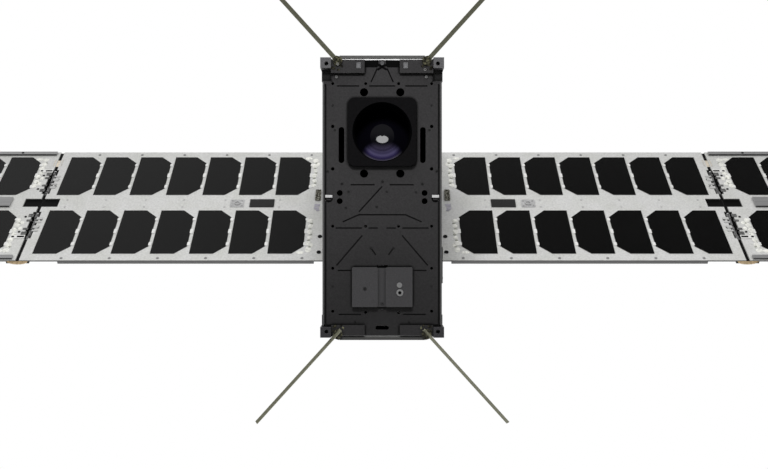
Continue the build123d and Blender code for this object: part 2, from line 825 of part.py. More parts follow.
# ---------------------------------------------------------------- files
os.makedirs("parts", exist_ok=True)

sides = [("left", -1), ("right", 1)]
levels = [("upper", 1), ("lower", -1)]

for level_name, side_z in levels:
    for side_name, side_x in sides:
        write(f"{level_name}_{side_name}_rail", corner_rail(side_x, side_z))
write("front_plate", front_plate())
write("rear_plate", rear_plate())
for level_name, side_z in (("top", 1), ("bottom", -1)):
    write(f"{level_name}_cover", cover(side_z))
    write(f"{level_name}_board", cover_board(side_z))
    write(f"{level_name}_cells", cover_cells(side_z))
write("lens_hood", lens_hood())
write("lens_barrel", lens_barrel())
write("lens_glass", lens_glass())
write("lens_ring", glass_ring())
write("avionics_block", avionics_block())
for name, x0, x1 in sensor_boxes:
    write(name, sensor_box(x0, x1))
write("sensor_bridge", sensor_bridge())
write("upper_brackets", upper_brackets())
write("lower_brackets", lower_brackets())
write("side_hatch", side_hatch())
hubs = []
for level_name, side_z, height, depth, blade_step, root_x, cut_off, turn in antenna_pairs:
    for side_name, side_x in sides:
        slit = antenna_blade(side_x, side_z, blade_step, root_x, cut_off, turn, blade_gap)
        blade = antenna_blade(side_x, side_z, blade_step, root_x, cut_off, turn)
        hubs.extend((antenna_hub(side_x, side_z, depth) - slit).solids())
        write(f"{level_name}_{side_name}_antenna_box", antenna_box(side_x, side_z, height, depth) - slit)
        write(f"{level_name}_{side_name}_antenna_blade", blade)
write("antenna_hubs", group(hubs))
for side_name, side_x in sides:
    write(f"{side_name}_side_panel", side_panel(side_x))
    write(f"{side_name}_drive_bearing", drive_bearing(side_x))
    for piece_name, piece in wing_pieces.items():
        placed = wing_plane.location * piece
        if side_x < 0:
            placed = mirror(placed, about=Plane.YZ)
        write(f"{side_name}_{piece_name}", placed)
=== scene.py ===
import json
import math

import bpy
from mathutils import Matrix, Vector


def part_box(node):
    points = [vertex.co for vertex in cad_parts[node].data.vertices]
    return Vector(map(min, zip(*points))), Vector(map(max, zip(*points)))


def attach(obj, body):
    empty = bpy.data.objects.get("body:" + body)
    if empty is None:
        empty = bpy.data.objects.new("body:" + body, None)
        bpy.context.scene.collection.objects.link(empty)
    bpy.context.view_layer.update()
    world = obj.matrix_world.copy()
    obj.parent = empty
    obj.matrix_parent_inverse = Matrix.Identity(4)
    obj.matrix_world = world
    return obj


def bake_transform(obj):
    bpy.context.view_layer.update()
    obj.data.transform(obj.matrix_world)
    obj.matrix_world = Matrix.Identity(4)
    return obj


bl_info = {
    "name": "Nanosatellite dressing",
    "version": (1, 0, 0),
    "blender": (4, 5, 0),
    "location": "View3D > Sidebar > Satellite",
    "description": "Finishes, small parts, floor and lights for a folding-wing nanosatellite",
    "category": "Object",
}

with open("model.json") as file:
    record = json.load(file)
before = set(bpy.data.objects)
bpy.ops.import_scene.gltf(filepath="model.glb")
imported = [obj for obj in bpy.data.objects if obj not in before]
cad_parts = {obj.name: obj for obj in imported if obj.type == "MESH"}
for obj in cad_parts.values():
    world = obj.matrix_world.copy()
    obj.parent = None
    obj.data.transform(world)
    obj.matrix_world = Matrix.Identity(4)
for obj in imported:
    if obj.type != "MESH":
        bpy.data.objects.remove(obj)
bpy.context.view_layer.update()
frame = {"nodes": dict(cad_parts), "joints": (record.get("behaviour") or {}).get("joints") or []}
MM = 0.001
SIDES = {"left": -1.0, "right": 1.0}
BOTH = (-1, 1)
WHITE = (1.0, 1.0, 1.0)


# ------------------------------------------------------------------ places
def moved(x, y, z):
    """A shift given in millimetres."""
    return Matrix.Translation(Vector((x, y, z)) * MM)


def turned(degrees, axis):
    return Matrix.Rotation(math.radians(degrees), 4, axis)


def joint(name):
    return next(j for j in frame["joints"] if j["name"] == name)


def wing_matrix(side):
    """Local wing frame to row frame: x outward along the wing, y across it, z out of the cell side."""
    across = -SIDES["right"] * Vector(joint("right_root_fold")["axis"]).normalized()
    outward = Vector((SIDES[side], 0.0, 0.0))
    cells_out = Vector((1.0, 0.0, 0.0)).cross(across)
    origin = Vector(joint(side + "_wing_drive")["pos_m"])
    origin.x = 0.0
    return Matrix.Translation(origin) @ Matrix((outward, across, cells_out)).transposed().to_4x4()


def local_box(node):
    """A right wing node's lowest and highest corners in the local wing frame, in millimetres."""
    back = wing_matrix("right").inverted()
    points = [back @ v.co / MM for v in frame["nodes"]["right_" + node].data.vertices]
    return [Vector(end(p[i] for p in points) for i in range(3)) for end in (min, max)]


def front_of(node):
    """The y of a node's face on the camera end, in millimetres."""
    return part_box(node)[0][1] / MM


INNER_HIGH = local_box("inner_panel")[1]
OUTER_LOW, OUTER_HIGH = local_box("outer_panel")
INNER_CELLS_START = local_box("inner_cells")[0].x
OUTER_CELLS_START = local_box("outer_cells")[0].x
CELL_PITCH = 41.5
CELL_COUNT = 7
BOARD_TOP = INNER_HIGH.z
WING_TILT = math.atan2(wing_matrix("right")[2][1], wing_matrix("right")[1][1])
WIDTH_WAY = (0.0, math.cos(WING_TILT), math.sin(WING_TILT))

HINGE_U = (INNER_HIGH.x + OUTER_LOW.x) / 2
HINGE_N = 2.9           # height of the middle hinge's pin
HINGE_V = 41.0          # middle of each half's hinge, across the wing
LATCH_V = 62.5
SLIT_HALF = 2.0

PLATE_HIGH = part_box("front_plate")[1]
HALF_WIDTH = PLATE_HIGH[0] / MM
HALF_HEIGHT = PLATE_HIGH[2] / MM
FRONT_Y = front_of("front_plate")
HOOD_LOW, HOOD_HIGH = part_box("lens_hood")
LENS_Z = (HOOD_LOW[2] + HOOD_HIGH[2]) / 2 / MM
THROAT_RADIUS = 24.0
RIM_HEIGHT = 1.4        # of the bevelled rim along the front plate's ends
RIM_WIDTH = 1.3         # and along its flanks
SLANT = (0.707, 0.06)   # lean of a 45-degree face's normal, and how far it may differ


def facing_camera_end(x, z, y=FRONT_Y, turn=0.0):
    """A place on the camera end: local +z points out of the front plate."""
    return moved(x, y, z) @ turned(90, "X") @ turned(turn, "Z")


def grid(lengthways, across, height):
    """Places on a wing, in its local frame."""
    return [moved(u, v, height) for u in lengthways for v in across]


# ------------------------------------------------------------------ modelling steps
def clear_selection():
    if bpy.context.object and bpy.context.object.mode != "OBJECT":
        bpy.ops.object.mode_set(mode="OBJECT")
    bpy.ops.object.select_all(action="DESELECT")


def take(piece):
    """Selects one object alone."""
    clear_selection()
    piece.select_set(True)
    bpy.context.view_layer.objects.active = piece


def settle():
    """Puts the new object's place and size into its mesh."""
    bpy.ops.object.transform_apply(location=True, rotation=True, scale=True)
    return bpy.context.object


def start_block(low, high):
    """A block between two corners in millimetres."""
    clear_selection()
    low, high = Vector(low) * MM, Vector(high) * MM
    bpy.ops.mesh.primitive_cube_add(size=1, location=(low + high) / 2, scale=high - low)
    return settle()


def start_round(radius, low, high, sides):
    """An upright round between two heights in millimetres."""
    clear_selection()
    middle = Vector((0.0, 0.0, (low + high) / 2)) * MM
    bpy.ops.mesh.primitive_cylinder_add(vertices=sides, radius=radius * MM, depth=(high - low) * MM, location=middle)
    return settle()


def edit_chosen(piece, kind, test):
    """Enters edit mode with the faces or edges selected whose middle and direction pass the test."""
    take(piece)
    mesh = piece.data
    for element in (*mesh.vertices, *mesh.edges, *mesh.polygons):
        element.select = False
    if kind == "FACE":
        for face in mesh.polygons:
            face.select = bool(test(face.center / MM, face.normal))
            for index in face.vertices if face.select else ():
                mesh.vertices[index].select = True
    else:
        for edge in mesh.edges:
            a, b = (mesh.vertices[i].co for i in edge.vertices)
            edge.select = bool(test((a + b) / 2 / MM, (b - a).normalized()))
    bpy.ops.object.mode_set(mode="EDIT")
    bpy.ops.mesh.select_mode(type=kind)


def edit_all(piece):
    take(piece)
    bpy.ops.object.mode_set(mode="EDIT")
    bpy.ops.mesh.select_all(action="SELECT")


def leave_edit():
    bpy.ops.object.mode_set(mode="OBJECT")


def inset_step(piece, test, width, push):
    """Insets the chosen faces and then pushes them along their normal; millimetres."""
    edit_chosen(piece, "FACE", test)
    if width:
        bpy.ops.mesh.inset(thickness=width * MM, depth=0)
    if push:
        bpy.ops.mesh.extrude_region_shrink_fatten(TRANSFORM_OT_shrink_fatten={"value": push * MM})
    leave_edit()


def bevel_edges(piece, test, width, segments=2):
    """Bevels the edges whose middle and direction pass the test; millimetres."""
    edit_chosen(piece, "EDGE", test)
    bpy.ops.mesh.bevel(offset=width * MM, segments=segments, affect="EDGES")
    leave_edit()


def upright(middle, direction):
    return abs(direction.z) > 0.9


def top_of(piece):
    """A test for the highest faces that look up."""
    highest = max(v.co.z for v in piece.data.vertices) / MM
    return lambda middle, normal: normal.z > 0.9 and abs(middle.z - highest) < 0.01


def top_centre(piece):
    """A test for the flat face on the axis at the very top."""
    highest = top_of(piece)
    return lambda middle, normal: highest(middle, normal) and middle.xy.length < 0.05


def tidy_normals(piece):
    edit_all(piece)
    bpy.ops.mesh.normals_make_consistent(inside=False)
    leave_edit()


def put(piece, place):
    """Moves a shape's mesh by a matrix."""
    piece.data.transform(place)
    return piece


def copies(master, places):
    """Copies of a finished shape at every matrix of a list, each with its own mesh."""
    made = []
    for place in places:
        twin = master.copy()
        twin.data = master.data.copy()
        bpy.context.scene.collection.objects.link(twin)
        made.append(put(twin, place))
    bpy.data.objects.remove(master)
    return made


def join_pieces(parts, name):
    """Makes one named object of several."""
    clear_selection()
    for part in parts:
        part.select_set(True)
    bpy.context.view_layer.objects.active = parts[0]
    if len(parts) > 1:
        bpy.ops.object.join()
    whole = bpy.context.object
    whole.name = whole.data.name = name
    return whole


def dress(piece, look, angle=30.0):
    """Gives a piece its finish, smooth shading and material slot."""
    piece.data.materials.clear()
    piece.data.materials.append(finish(look))
    take(piece)
    bpy.ops.object.shade_smooth_by_angle(angle=math.radians(angle))


def on_body(parts, name, look, angle=30.0):
    """Joins parts to one piece that rides on the satellite's body."""
    piece = join_pieces(parts, name)
    dress(piece, look, angle)
    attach(piece, "bus")


def on_wings(model, body, look, name):
    """Builds a piece's parts in the local wing frame twice and puts one piece on each wing."""
    for side in SIDES:
        piece = put(join_pieces(model(), side + "_" + name), wing_matrix(side))
        tidy_normals(piece)
        dress(piece, look)
        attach(piece, side + "_" + body)


# ------------------------------------------------------------------ shapes used by several steps
def model_plate(low, high, corner, segments, rim, push, where=lambda middle: True):
    """A block with rounded upright edges and a stepped top."""
    plate = start_block(low, high)
    bevel_edges(plate, lambda m, d: upright(m, d) and where(m), corner, segments)
    inset_step(plate, top_of(plate), rim, push)
    return plate


def model_dish(radius, low, high, sides, rim, push):
    """A short round with a stepped top."""
    dish = start_round(radius, low, high, sides)
    inset_step(dish, top_of(dish), rim, push)
    return dish


def model_button(radius, height, sides, rounding, rim, push):
    """A low round with a rounded rim and a stepped middle, standing on z = 0."""
    button = start_round(radius, 0.0, height, sides)
    bevel_edges(button, lambda m, d: m.z > height - 0.05 and abs(d.z) < 0.1, rounding)
    inset_step(button, top_centre(button), rim, push)
    return button


def model_screw(radius, height, socket, sides):
    """A low screw head with a rounded rim and a sunk socket, standing on z = 0."""
    rounding = min(height, radius) * 0.3
    head = model_button(radius, height, sides, rounding, radius * (1.0 - socket) - rounding, 0.0)
    inset_step(head, top_centre(head), 0.0, -height * 0.6)
    return head


def model_dome(radius, sides, seed):
    """A slightly uneven half ball standing on z = 0."""
    clear_selection()
    bpy.ops.mesh.primitive_uv_sphere_add(segments=sides, ring_count=sides // 2, radius=radius * MM)
    blob = settle()
    edit_all(blob)
    bpy.ops.mesh.bisect(plane_co=(0.0, 0.0, 0.0), plane_no=(0.0, 0.0, 1.0), clear_inner=True, use_fill=True)
    bpy.ops.mesh.select_all(action="SELECT")
    if seed:
        bpy.ops.transform.vertex_random(offset=radius * 0.07 * MM, seed=abs(seed))
    leave_edit()
    tidy_normals(blob)
    return blob


def model_ring(outer, inner, height, sides):
    """A flat ring standing on z = 0."""
    ring = start_round(outer, 0.0, height, sides)
    inset_step(ring, lambda m, n: abs(n.z) > 0.9, outer - inner, 0.0)
    edit_chosen(ring, "FACE", lambda m, n: abs(n.z) > 0.9 and m.xy.length < 0.1)
    bpy.ops.mesh.bridge_edge_loops()
    leave_edit()
    tidy_normals(ring)
    return ring


def model_spring(coil, wire, length, turns):
    """A coil spring round the z axis, from z = 0 up; the screw modifier winds a small ring."""
    clear_selection()
    bpy.ops.mesh.primitive_circle_add(
        vertices=8, radius=wire * MM, location=(coil * MM, 0.0, 0.0), rotation=(math.radians(90), 0.0, 0.0)
    )
    spring = settle()
    bpy.ops.object.modifier_add(type="SCREW")
    wind = spring.modifiers[0]
    wind.axis = "Z"
    wind.angle = math.radians(360)
    wind.screw_offset = length / turns * MM
    wind.iterations = turns
    wind.steps = wind.render_steps = 14
    bpy.ops.object.modifier_apply(modifier=wind.name)
    edit_all(spring)
    bpy.ops.mesh.fill_holes(sides=0)
    leave_edit()
    tidy_normals(spring)
    return spring


# ------------------------------------------------------------------ shader tools
class Nodes:
    """A node tree, with short ways to add, set and link its nodes."""

    def __init__(self, tree):
        self.tree = tree

    def feed(self, socket, value):
        """Links an output to a socket, or sets it to a number, a vector or a colour."""
        if isinstance(value, bpy.types.NodeSocket):
            self.tree.links.new(value, socket)
        elif isinstance(value, (tuple, list)) and socket.type == "RGBA":
            socket.default_value = (*value[:3], 1.0)
        else:
            socket.default_value = value

    def add(self, kind, inputs=None, **settings):
        made = self.tree.nodes.new("ShaderNode" + kind)
        for key, value in settings.items():
            setattr(made, key, value)
        for key, value in (inputs or {}).items():
            self.feed(made.inputs[key], value)
        return made

    def shared(self, name, place=None, **values):
        """A shared effect's outputs; its place and values go to its named inputs."""
        if place:
            values["Place"] = place
        made = self.add("Group", node_tree=bpy.data.node_groups.get(name) or EFFECTS[name](name))
        for key, value in values.items():
            self.feed(made.inputs[key], value)
        return made.outputs

    def math(self, operation, *values, clamp=False):
        return self.add("Math", dict(enumerate(values)), operation=operation, use_clamp=clamp).outputs[0]

    def vector_math(self, operation, *values):
        return self.add("VectorMath", dict(enumerate(values)), operation=operation).outputs

    def scaled(self, colour, value):
        """A colour multiplied by a varying value."""
        return self.add("VectorMath", {0: colour, "Scale": value}, operation="SCALE").outputs[0]

    def mix(self, share, a, b, blend="MIX"):
        return self.add("Mix", {0: share, 6: a, 7: b}, data_type="RGBA", blend_type=blend).outputs[2]

    def spread(self, value, low, high, to_low=0.0, to_high=1.0, kind="SMOOTHSTEP"):
        """A value carried from one range to another."""
        inputs = {"Value": value, "From Min": low, "From Max": high, "To Min": to_low, "To Max": to_high}
        return self.add("MapRange", inputs, interpolation_type=kind).outputs[0]

    def varied(self, mask, low, high):
        """A mask stretched between two values."""
        return self.spread(mask, 0.0, 1.0, low, high, "LINEAR")

    def split(self, vector):
        return self.add("SeparateXYZ", {0: vector}).outputs

    def noise(self, place, scale, detail):
        return self.add("TexNoise", {"Vector": place, "Scale": scale, "Detail": detail}).outputs["Fac"]

    def mapped(self, vector, **values):
        inputs = {"Vector": vector, **{key.capitalize(): value for key, value in values.items()}}
        return self.add("Mapping", inputs, vector_type="POINT").outputs[0]

    def side_mask(self, axis, middle, reach):
        """A mask of the faces whose normal leans by a given amount along one axis."""
        amount = self.math("ABSOLUTE", self.split(self.add("NewGeometry").outputs["True Normal"])[axis])
        away = self.math("ABSOLUTE", self.math("SUBTRACT", amount, middle))
        return self.math("LESS_THAN", away, reach)

    def own_normal(self):
        """A face's normal in the piece's own frame, which a turn of its body leaves alone."""
        normal = self.add("NewGeometry").outputs["True Normal"]
        change = {"vector_type": "NORMAL", "convert_from": "WORLD", "convert_to": "OBJECT"}
        return self.add("VectorTransform", {0: normal}, **change).outputs[0]

    def across_wing(self):
        """How far a face's own normal leans along the wing's width, from 0 to 1."""
        return self.math("ABSOLUTE", self.vector_math("DOT_PRODUCT", self.own_normal(), WIDTH_WAY)["Value"])


class Look(Nodes):
    """A material with one Principled shader and its object coordinates."""

    def __init__(self, name, metallic, roughness, specular=0.5):
        self.material = bpy.data.materials.new(name)
        self.material.use_nodes = True
        super().__init__(self.material.node_tree)
        self.shader = self.tree.nodes["Principled BSDF"]
        self.shader.inputs["Metallic"].default_value = metallic
        self.shader.inputs["Roughness"].default_value = roughness
        self.shader.inputs["Specular IOR Level"].default_value = specular
        self.place = self.add("TexCoord").outputs["Object"]

    def wing_place(self):
        """Object coordinates turned level with the wing, so that a pattern runs along and across it."""
        return self.mapped(self.place, rotation=(-WING_TILT, 0.0, 0.0))

    def from_lens_axis(self):
        """Object coordinates across the lens's axis, and their distance from it."""
        centred = self.mapped(self.place, location=(0.0, 0.0, -LENS_Z * MM), scale=(1.0, 0.0, 1.0))
        return centred, self.vector_math("LENGTH", centred)["Value"]

    def paint(self, colour, roughness=None, height=None, strength=0.0, distance=0.0002):
        """Feeds the shader and returns the finished material."""
        self.feed(self.shader.inputs["Base Color"], colour)
        if roughness:
            self.feed(self.shader.inputs["Roughness"], roughness)
        if height:
            bump = self.add("Bump", {"Strength": strength, "Distance": distance, "Height": height})
            self.feed(self.shader.inputs["Normal"], bump.outputs[0])
        return self.material


def new_effect(name, inputs, outputs):
    """A shader node group with named sockets, and its two ends."""
    tree = bpy.data.node_groups.new(name, "ShaderNodeTree")
    for label, kind, default in inputs:
        socket = tree.interface.new_socket(name=label, in_out="INPUT", socket_type="NodeSocket" + kind)
        if default is not None:
            socket.default_value = default
    for label in outputs:
        tree.interface.new_socket(name=label, in_out="OUTPUT", socket_type="NodeSocketFloat")
    return Nodes(tree), tree.nodes.new("NodeGroupInput").outputs, tree.nodes.new("NodeGroupOutput").inputs


def fine_grain(name):
    """Fine surface grain: a value that swings about 1, and a height."""
    inputs = (("Place", "Vector", None), ("Scale", "Float", 400.0), ("Swing", "Float", 0.1))
    nodes, start, end = new_effect(name, inputs, ("Value", "Height"))
    height = nodes.noise(start["Place"], start["Scale"], 3.0)
    swung = nodes.math("MULTIPLY", nodes.math("SUBTRACT", height, 0.5), start["Swing"])
    nodes.feed(end["Value"], nodes.math("ADD", nodes.math("MULTIPLY", swung, 4.0), 1.0))
    nodes.feed(end["Height"], height)
    return nodes.tree


def edge_highlight(name):
    """A mask of outer edges, for a painted highlight along them."""
    inputs = (("Width", "Float", 0.0006), ("Strength", "Float", 1.0))
    nodes, start, end = new_effect(name, inputs, ("Mask",))
    rounded = nodes.add("Bevel", {"Radius": start["Width"]}, samples=6).outputs[0]
    plain = nodes.add("NewGeometry").outputs["Normal"]
    away = nodes.math("SUBTRACT", 1.0, nodes.vector_math("DOT_PRODUCT", rounded, plain)["Value"])
    strong = nodes.math("MULTIPLY", away, 4.0)
    nodes.feed(end["Mask"], nodes.math("MULTIPLY", strong, start["Strength"], clamp=True))
    return nodes.tree


def broad_patches(name):
    """Broad soft variation, for smudges and uneven coating."""
    nodes, start, end = new_effect(name, (("Place", "Vector", None), ("Scale", "Float", 20.0)), ("Mask",))
    broad = nodes.noise(start["Place"], start["Scale"], 2.0)
    nodes.feed(end["Mask"], nodes.spread(broad, 0.35, 0.65, kind="LINEAR"))
    return nodes.tree


def crease_shade(name):
    """A factor that darkens creases, grooves and corners."""
    inputs = (("Reach", "Float", 0.003), ("Strength", "Float", 1.0))
    nodes, start, end = new_effect(name, inputs, ("Factor",))
    open_sky = nodes.add("AmbientOcclusion", {"Distance": start["Reach"]}, samples=8).outputs["AO"]
    lost = nodes.math("MULTIPLY", nodes.math("SUBTRACT", 1.0, open_sky), start["Strength"], clamp=True)
    nodes.feed(end["Factor"], nodes.math("SUBTRACT", 1.0, lost))
    return nodes.tree


EFFECTS = {
    "Fine grain": fine_grain,
    "Edge wear": edge_highlight,
    "Broad patches": broad_patches,
    "Crease shade": crease_shade,
}


# ------------------------------------------------------------------ finishes
def rgb(colour):
    """A colour as three numbers; one number stands for a grey."""
    return (colour,) * 3 if isinstance(colour, float) else tuple(colour)


def coated_metal(name, colour, metallic, roughness, scale, swing, edge_colour=None, edge=0.0, bump=0.15,
                 specular=0.5, shade=0.0):
    """Anodised, painted or bare metal: grain, broad unevenness, creases darkened by painted shade and edges
    brightened by a painted highlight.
    """
    look = Look(name, metallic, roughness, specular)
    grain = look.shared("Fine grain", look.place, Scale=scale, Swing=swing)
    patches = look.shared("Broad patches", look.place, Scale=22.0)["Mask"]
    base = look.scaled(rgb(colour), look.math("MULTIPLY", grain["Value"], look.varied(patches, 0.94, 1.06)))
    # painted highlight: the edges are lightened towards the edge colour
    if edge:
        base = look.mix(look.shared("Edge wear", Strength=edge)["Mask"], base, rgb(edge_colour))
    if shade:
        base = look.scaled(base, look.shared("Crease shade", Strength=shade)["Factor"])
    rough = look.varied(patches, roughness * 0.9, min(1.0, roughness * 1.12))
    return look.paint(base, rough, grain["Height"], bump)


def plate_material(name, colour):
    """Black anodised plate: grain, grooves darkened by painted shade, and a bare machined rim that is brightest along
    its ends; the rim's tones are painted light from above.
    """
    look = Look(name, 0.0, 0.5, 0.25)
    grain = look.shared("Fine grain", look.place, Scale=900.0, Swing=0.2)
    patches = look.shared("Broad patches", look.place, Scale=18.0)["Mask"]
    spot = look.split(look.place)
    top = look.math("GREATER_THAN", spot["Z"], (HALF_HEIGHT - RIM_HEIGHT) * MM)
    bottom = look.math("LESS_THAN", spot["Z"], (RIM_HEIGHT - HALF_HEIGHT) * MM)
    flank = look.math("GREATER_THAN", look.math("ABSOLUTE", spot["X"]), (HALF_WIDTH - RIM_WIDTH) * MM)
    ends = look.side_mask("Z", *SLANT)
    base = look.scaled(colour, look.math("MULTIPLY", grain["Value"], look.varied(patches, 0.93, 1.07)))
    base = look.scaled(base, look.shared("Crease shade", Reach=0.0026, Strength=2.8)["Factor"])
    # painted shade: the plate is darker towards its lower end, as light from above falls off
    base = look.scaled(base, look.spread(spot["Z"], -0.11, 0.03, 0.6, 1.0))
    # painted light on the bare rim: grey flanks, a bright top end lit from above and a dimmer bottom end
    base = look.mix(look.math("MULTIPLY", flank, look.side_mask("X", *SLANT)), base, rgb(0.12))
    base = look.mix(look.math("MULTIPLY", ends, top), base, rgb(0.85))
    base = look.mix(look.math("MULTIPLY", ends, bottom), base, rgb(0.3))
    return look.paint(base, look.varied(patches, 0.46, 0.58), grain["Height"], 0.2)


def hood_material(name):
    """Matt black shade, blacker still in its round throat, and nearly black on its underside as painted shade."""
    look = Look(name, 0.0, 0.62, 0.03)
    grain = look.shared("Fine grain", look.place, Scale=1100.0, Swing=0.25)
    throat = look.math("LESS_THAN", look.from_lens_axis()[1], (THROAT_RADIUS + 0.05) * MM)
    underside = look.spread(look.split(look.own_normal())["Z"], -0.15, -0.45)
    base = look.scaled((0.0055, 0.0053, 0.0057), grain["Value"])
    base = look.mix(throat, base, (0.0012, 0.0012, 0.0014))
    # painted shade: faces that point down are darkened to nearly black
    base = look.mix(underside, base, (0.0006, 0.0006, 0.0008))
    return look.paint(base, look.varied(throat, 0.6, 0.95), grain["Height"], 0.2)


def mottled_material(name, dark, light):
    """Solder, flux and lacquer over a feed: two tones in small irregular blots."""
    look = Look(name, 0.3, 0.4)
    blots = look.noise(look.place, 520.0, 4.0)
    base = look.mix(look.spread(blots, 0.44, 0.66), dark, light)
    return look.paint(base, height=blots, strength=0.8, distance=0.0008)


def board_material(name, colour, sawn_edge_and_shade_grey=None):
    """White solder mask over glass weave: speckle, faint broad patches and a dark sawn edge, partly the bare laminate
    and partly painted shade.
    """
    look = Look(name, 0.0, 0.45, 0.4)
    flat = look.wing_place()
    grain = look.shared("Fine grain", flat, Scale=520.0, Swing=0.13)
    patches = look.shared("Broad patches", flat, Scale=40.0)["Mask"]
    weave = look.add("TexChecker", {"Vector": flat, "Scale": 900.0, "Color1": WHITE, "Color2": rgb(0.95)})
    darker = (colour[0] * 0.94, colour[1] * 0.945, colour[2] * 0.92)
    base = look.scaled(look.mix(patches, darker, colour), grain["Value"])
    base = look.mix(0.5, base, weave.outputs["Color"], "MULTIPLY")
    base = look.scaled(base, look.shared("Crease shade", Reach=0.003, Strength=0.55)["Factor"])
    # a wing's long edges turn with the wing, the covers' boards end square on the camera end; the edge's grey is
    # partly bare laminate and partly painted shade
    sawn = look.side_mask("Y", 1.0, 0.02) if sawn_edge_and_shade_grey else look.math("GREATER_THAN", look.across_wing(), 0.9)
    grey = sawn_edge_and_shade_grey or 0.14
    base = look.mix(sawn, base, (grey, grey, grey * 0.97))
    return look.paint(base, height=grain["Height"], strength=0.1)


FINGER_PITCH = 1.3 * MM
FINGER_SHARE = 0.06


def cell_material(name, colour, line_colour):
    """Near-black solar cell under cover glass, with very fine contact fingers across the wing."""
    look = Look(name, 0.0, 0.22)
    flat = look.wing_place()
    turn = look.math("FRACT", look.math("MULTIPLY", look.split(flat)["X"], 1 / FINGER_PITCH))
    finger = look.math("LESS_THAN", turn, FINGER_SHARE)
    patches = look.shared("Broad patches", flat, Scale=30.0)["Mask"]
    base = look.mix(patches, tuple(c * 0.75 for c in colour), colour)
    return look.paint(look.mix(look.math("MULTIPLY", finger, 0.12), base, line_colour))


GLASS_RADIUS = 23.4
# distance from the lens's axis as a share of the glass, and the colour of the painted reflection there
LENS_REFLECTION_RINGS = (
    (0.0, (0.004, 0.004, 0.006)), (0.30, (0.004, 0.004, 0.007)), (0.42, (0.034, 0.029, 0.052)),
    (0.50, (0.052, 0.044, 0.085)), (0.55, (0.034, 0.028, 0.06)), (0.61, (0.072, 0.063, 0.13)),
    (0.66, (0.062, 0.053, 0.12)), (0.73, (0.125, 0.11, 0.23)), (0.79, (0.068, 0.056, 0.15)),
    (0.83, (0.034, 0.024, 0.1)), (0.87, (0.055, 0.046, 0.1)), (0.915, (0.14, 0.128, 0.18)),
    (1.0, (0.12, 0.11, 0.155)),
)


def lens_material(name):
    """Coated lens glass: nearly black, with violet rings of painted reflection in an oval low on it."""
    look = Look(name, 0.0, 0.05)
    look.shader.inputs["IOR"].default_value = 2.4
    centred, reach = look.from_lens_axis()
    rings = look.add("ValToRGB", {"Fac": look.math("DIVIDE", reach, GLASS_RADIUS * MM)})
    ramp = rings.color_ramp.elements
    for element, stop in ((ramp[0], LENS_REFLECTION_RINGS[0]), (ramp[1], LENS_REFLECTION_RINGS[-1])):
        element.color = (*stop[1], 1.0)
    for position, colour in LENS_REFLECTION_RINGS[1:-1]:
        ramp.new(position).color = (*colour, 1.0)
    # painted reflection: the violet rings show only in an oval low on the glass
    drop, half_width, half_height = 16.5 * MM, 16.5 * MM, 11.5 * MM
    oval = look.mapped(centred, location=(0.0, 0.0, drop / half_height), scale=(1 / half_width, 0.0, 1 / half_height))
    lit = look.spread(look.vector_math("LENGTH", oval)["Value"], 1.1, 0.55)
    return look.paint(look.mix(lit, (0.0022, 0.002, 0.004), rings.outputs["Color"]))


EYE_HALF = 1.95         # half width of the hinge eyes, along the wing
EYES_REACH = 24.0       # how far they go on either side of a hinge's middle


def beam_material(name):
    """Black hinge beam whose eyes round the pin are worn to grey metal in small blots."""
    look = Look(name, 0.0, 0.6, 0.2)
    blots = look.noise(look.place, 420.0, 3.0)

    def within(value, middle, reach):
        away = look.math("ABSOLUTE", look.math("SUBTRACT", look.math("ABSOLUTE", value), middle * MM))
        return look.math("LESS_THAN", away, reach * MM)

    axis = wing_matrix("right").translation.dot(Vector(WIDTH_WAY))
    across = look.math("SUBTRACT", look.vector_math("DOT_PRODUCT", look.place, WIDTH_WAY)["Value"], axis)
    near_pin = within(look.split(look.place)["X"], HINGE_U, EYE_HALF)
    eye = look.math("MULTIPLY", near_pin, within(across, HINGE_V, EYES_REACH))
    metal = look.mix(look.spread(blots, 0.4, 0.62), rgb(0.035), rgb(0.26))
    return look.paint(look.mix(eye, rgb(0.0025), metal), height=blots, strength=0.3)


def brushed_material(name, colour, shaded_side_share):
    """Satin metal brushed along the wing, with its long sides darkened as painted shade."""
    look = Look(name, 0.5, 0.4)
    long_way = look.mapped(look.wing_place(), scale=(0.05, 1.0, 1.0))
    grain = look.shared("Fine grain", long_way, Scale=500.0, Swing=0.14)
    # painted shade: the long sides take a share of the bar's colour
    shaded_side = look.math("GREATER_THAN", look.across_wing(), 0.6)
    base = look.mix(shaded_side, look.scaled(colour, grain["Value"]), tuple(c * shaded_side_share for c in colour))
    return look.paint(base, height=grain["Height"], strength=0.12)
